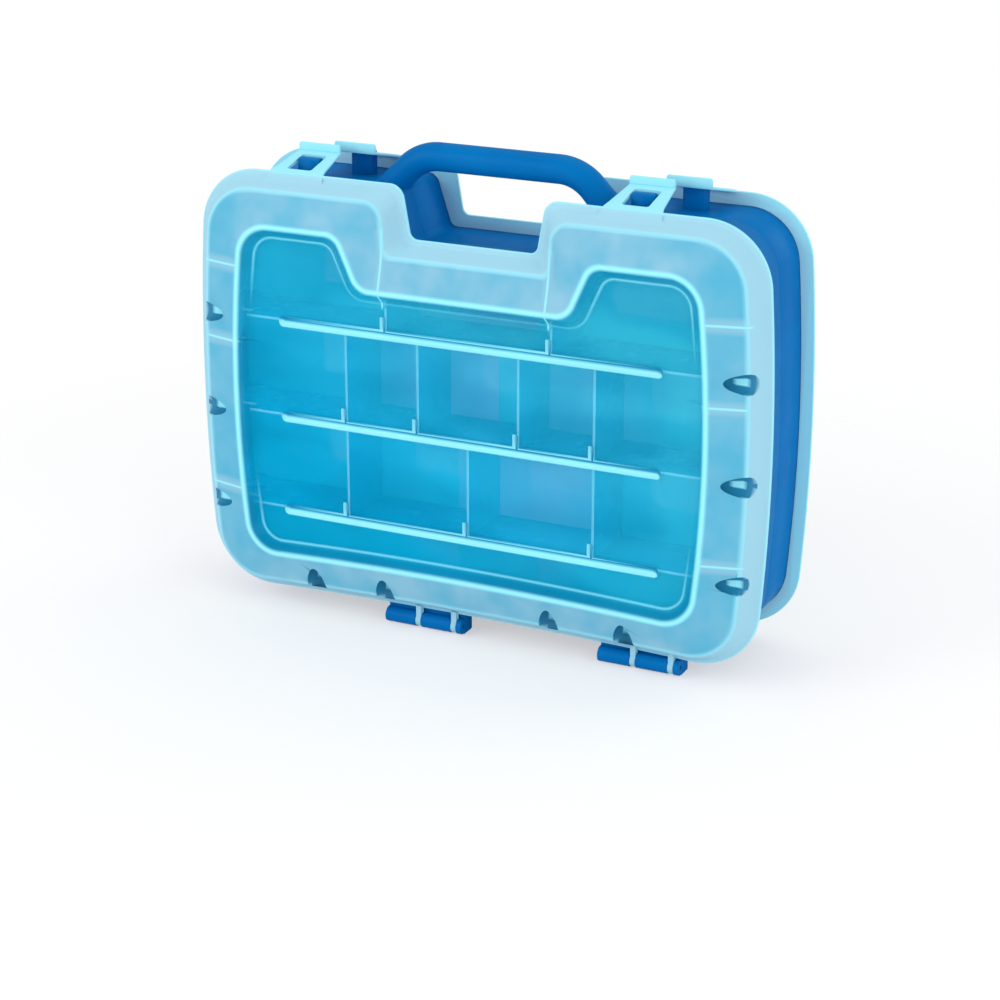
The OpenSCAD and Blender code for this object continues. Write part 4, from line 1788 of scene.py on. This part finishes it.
@dataclass
class KeptNodes:
    """The pieces whose CAD shape is right: the wall between the trays, the dividers' plates and
    the hinge pins."""

    finishes: dict[str, Finish] = field(
        default_factory=lambda: {"_partition": PARTITION_STYRENE, "_divider_": DIVIDER_STYRENE,
                                 "_hinge_pin": PIN_ACETAL}
    )

    def dress(self) -> list[str]:
        """Gives each kept node its material.

        Returns:
            The names of the nodes that were dressed.
        """
        dressed = []
        for name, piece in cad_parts.items():
            for words, finish in self.finishes.items():
                if words in name:
                    piece.data.materials.clear()
                    piece.data.materials.append(finish.material())
                    dressed.append(name)
        return dressed


# ---- Studio -----------------------------------------------------------------------------------


@dataclass(frozen=True)
class Lamp:
    """A square area light that is aimed at the case.

    Attributes:
        name: Its name.
        place: Its place, in metres.
        size: Its width, in metres.
        power: Its power, in watts.
    """

    name: str
    place: Point
    size: float
    power: float


@dataclass
class Studio:
    """A pale floor, soft lights and the camera at the photograph's angle.

    Attributes:
        camera_at: The camera's place.
        yaw: Its turn about Z, in degrees.
        pitch: How far it looks down, in degrees.
        lens: Focal length on a 36 mm sensor.
        floor_size: Width of the floor.
        see_through: Share of the backdrop that shows through the floor under the case.
        fade: Distances from the case at which the floor starts to fade, and has faded.
        world: Strength of the backdrop as a light, and as the camera sees it.
        aim: What the lamps are aimed at.
        lamps: A broad light overhead, two from the front and one from the rear.
    """

    camera_at: Point = (0.707, -1.470, 0.687)
    yaw: float = 25.67
    pitch: float = 20.09
    lens: float = 87.7
    floor_size: float = 12.0
    see_through: float = 0.5
    fade: Flat = (0.3, 0.8)
    world: Flat = (0.6, 1.0)
    aim: Point = (0.0, 0.0, 0.15)
    lamps: tuple[Lamp, ...] = (
        Lamp("overhead", (0.1, 0.25, 1.7), 1.6, 7.0),
        Lamp("front_left", (-1.3, -1.5, 1.0), 1.4, 20.0),
        Lamp("front_right", (1.6, -1.1, 0.7), 1.2, 13.0),
        Lamp("rear", (1.3, 1.5, 0.9), 1.2, 8.0),
    )

    def build(self) -> None:
        """Builds the stage, the lights and the camera."""
        self.floor()
        self.lights()
        data = bpy.data.cameras.new("camera")
        data.lens, data.sensor_width = self.lens, 36.0
        data.clip_end = 50.0
        camera = bpy.data.objects.new("camera", data)
        camera.location = self.camera_at
        camera.rotation_euler = (math.radians(90 - self.pitch), 0, math.radians(self.yaw))
        bpy.context.scene.collection.objects.link(camera)
        bpy.context.scene.camera = camera
        bpy.context.scene.view_settings.view_transform = "Standard"

    def floor(self) -> None:
        """A pale matt floor that fades into the white backdrop away from the case. It is half
        see-through to the camera, so lids that hang below it when open still show."""
        half = self.floor_size / 2
        mesh = bpy.data.meshes.new("floor")
        mesh.from_pydata([(-half, -half, 0), (half, -half, 0), (half, half, 0), (-half, half, 0)],
                         [], [(0, 1, 2, 3)])
        floor = bpy.data.objects.new("floor", mesh)
        bpy.context.scene.collection.objects.link(floor)
        made = bpy.data.materials.new("matt_paper_white")
        made.use_nodes = True
        tree = made.node_tree
        tree.nodes.clear()
        where = add_node(tree, "ShaderNodeTexCoord").outputs["Object"]
        away = add_node(tree, "ShaderNodeVectorMath", {0: where}, operation="LENGTH")
        fade = add_node(
            tree, "ShaderNodeMapRange",
            {0: away.outputs["Value"], 1: self.fade[0], 2: self.fade[1], 3: self.see_through,
             4: 1.0},
            interpolation_type="SMOOTHSTEP",
        )
        matt = add_node(tree, "ShaderNodeBsdfDiffuse", {"Color": linear("#f7f8fa")})
        clear = add_node(tree, "ShaderNodeBsdfTransparent")
        seen = add_node(tree, "ShaderNodeLightPath").outputs["Is Camera Ray"]
        share = add_node(
            tree, "ShaderNodeMath", {0: fade.outputs[0], 1: seen}, operation="MULTIPLY"
        )
        mixed = add_node(
            tree, "ShaderNodeMixShader", {0: share.outputs[0], 1: matt.outputs[0],
                                          2: clear.outputs[0]},
        )
        add_node(tree, "ShaderNodeOutputMaterial", {0: mixed.outputs[0]})
        mesh.materials.append(made)

    def lights(self) -> None:
        """Builds the lamps, and the white backdrop that also lights the case a little."""
        for lamp in self.lamps:
            data = bpy.data.lights.new(lamp.name, "AREA")
            data.shape, data.size, data.energy = "SQUARE", lamp.size, lamp.power
            light = bpy.data.objects.new(lamp.name, data)
            light.location = lamp.place
            way = Vector(self.aim) - Vector(lamp.place)
            light.rotation_euler = way.to_track_quat("-Z", "Y").to_euler()
            bpy.context.scene.collection.objects.link(light)
        world = bpy.data.worlds.new("studio")
        bpy.context.scene.world = world
        world.use_nodes = True
        tree = world.node_tree
        tree.nodes.clear()
        seen = add_node(tree, "ShaderNodeLightPath").outputs["Is Camera Ray"]
        strength = add_node(
            tree, "ShaderNodeMapRange",
            {0: seen, 1: 0.0, 2: 1.0, 3: self.world[0], 4: self.world[1]},
        )
        sky = add_node(
            tree, "ShaderNodeBackground", {"Color": (1, 1, 1, 1), "Strength": strength.outputs[0]}
        )
        add_node(tree, "ShaderNodeOutputWorld", {0: sky.outputs[0]})


def main() -> None:
    """Builds the satchel's pieces in order, then the studio."""
    logging.basicConfig(level=logging.INFO, format="%(name)s: %(message)s")
    sizes = CaseSizes()
    Studio().build()
    for side in Side:
        piece = LidMoulding(sizes, side).build()
        LOG.info("%s: %d faces", piece.name, len(piece.data.polygons))
    for maker in (CentreBody(sizes), CarryHandle(sizes)):
        piece = maker.build()
        LOG.info("%s: %d faces", piece.name, len(piece.data.polygons))
    LOG.info("dressed %d CAD nodes", len(KeptNodes().dress()))


if __name__ == "__main__":
    main()
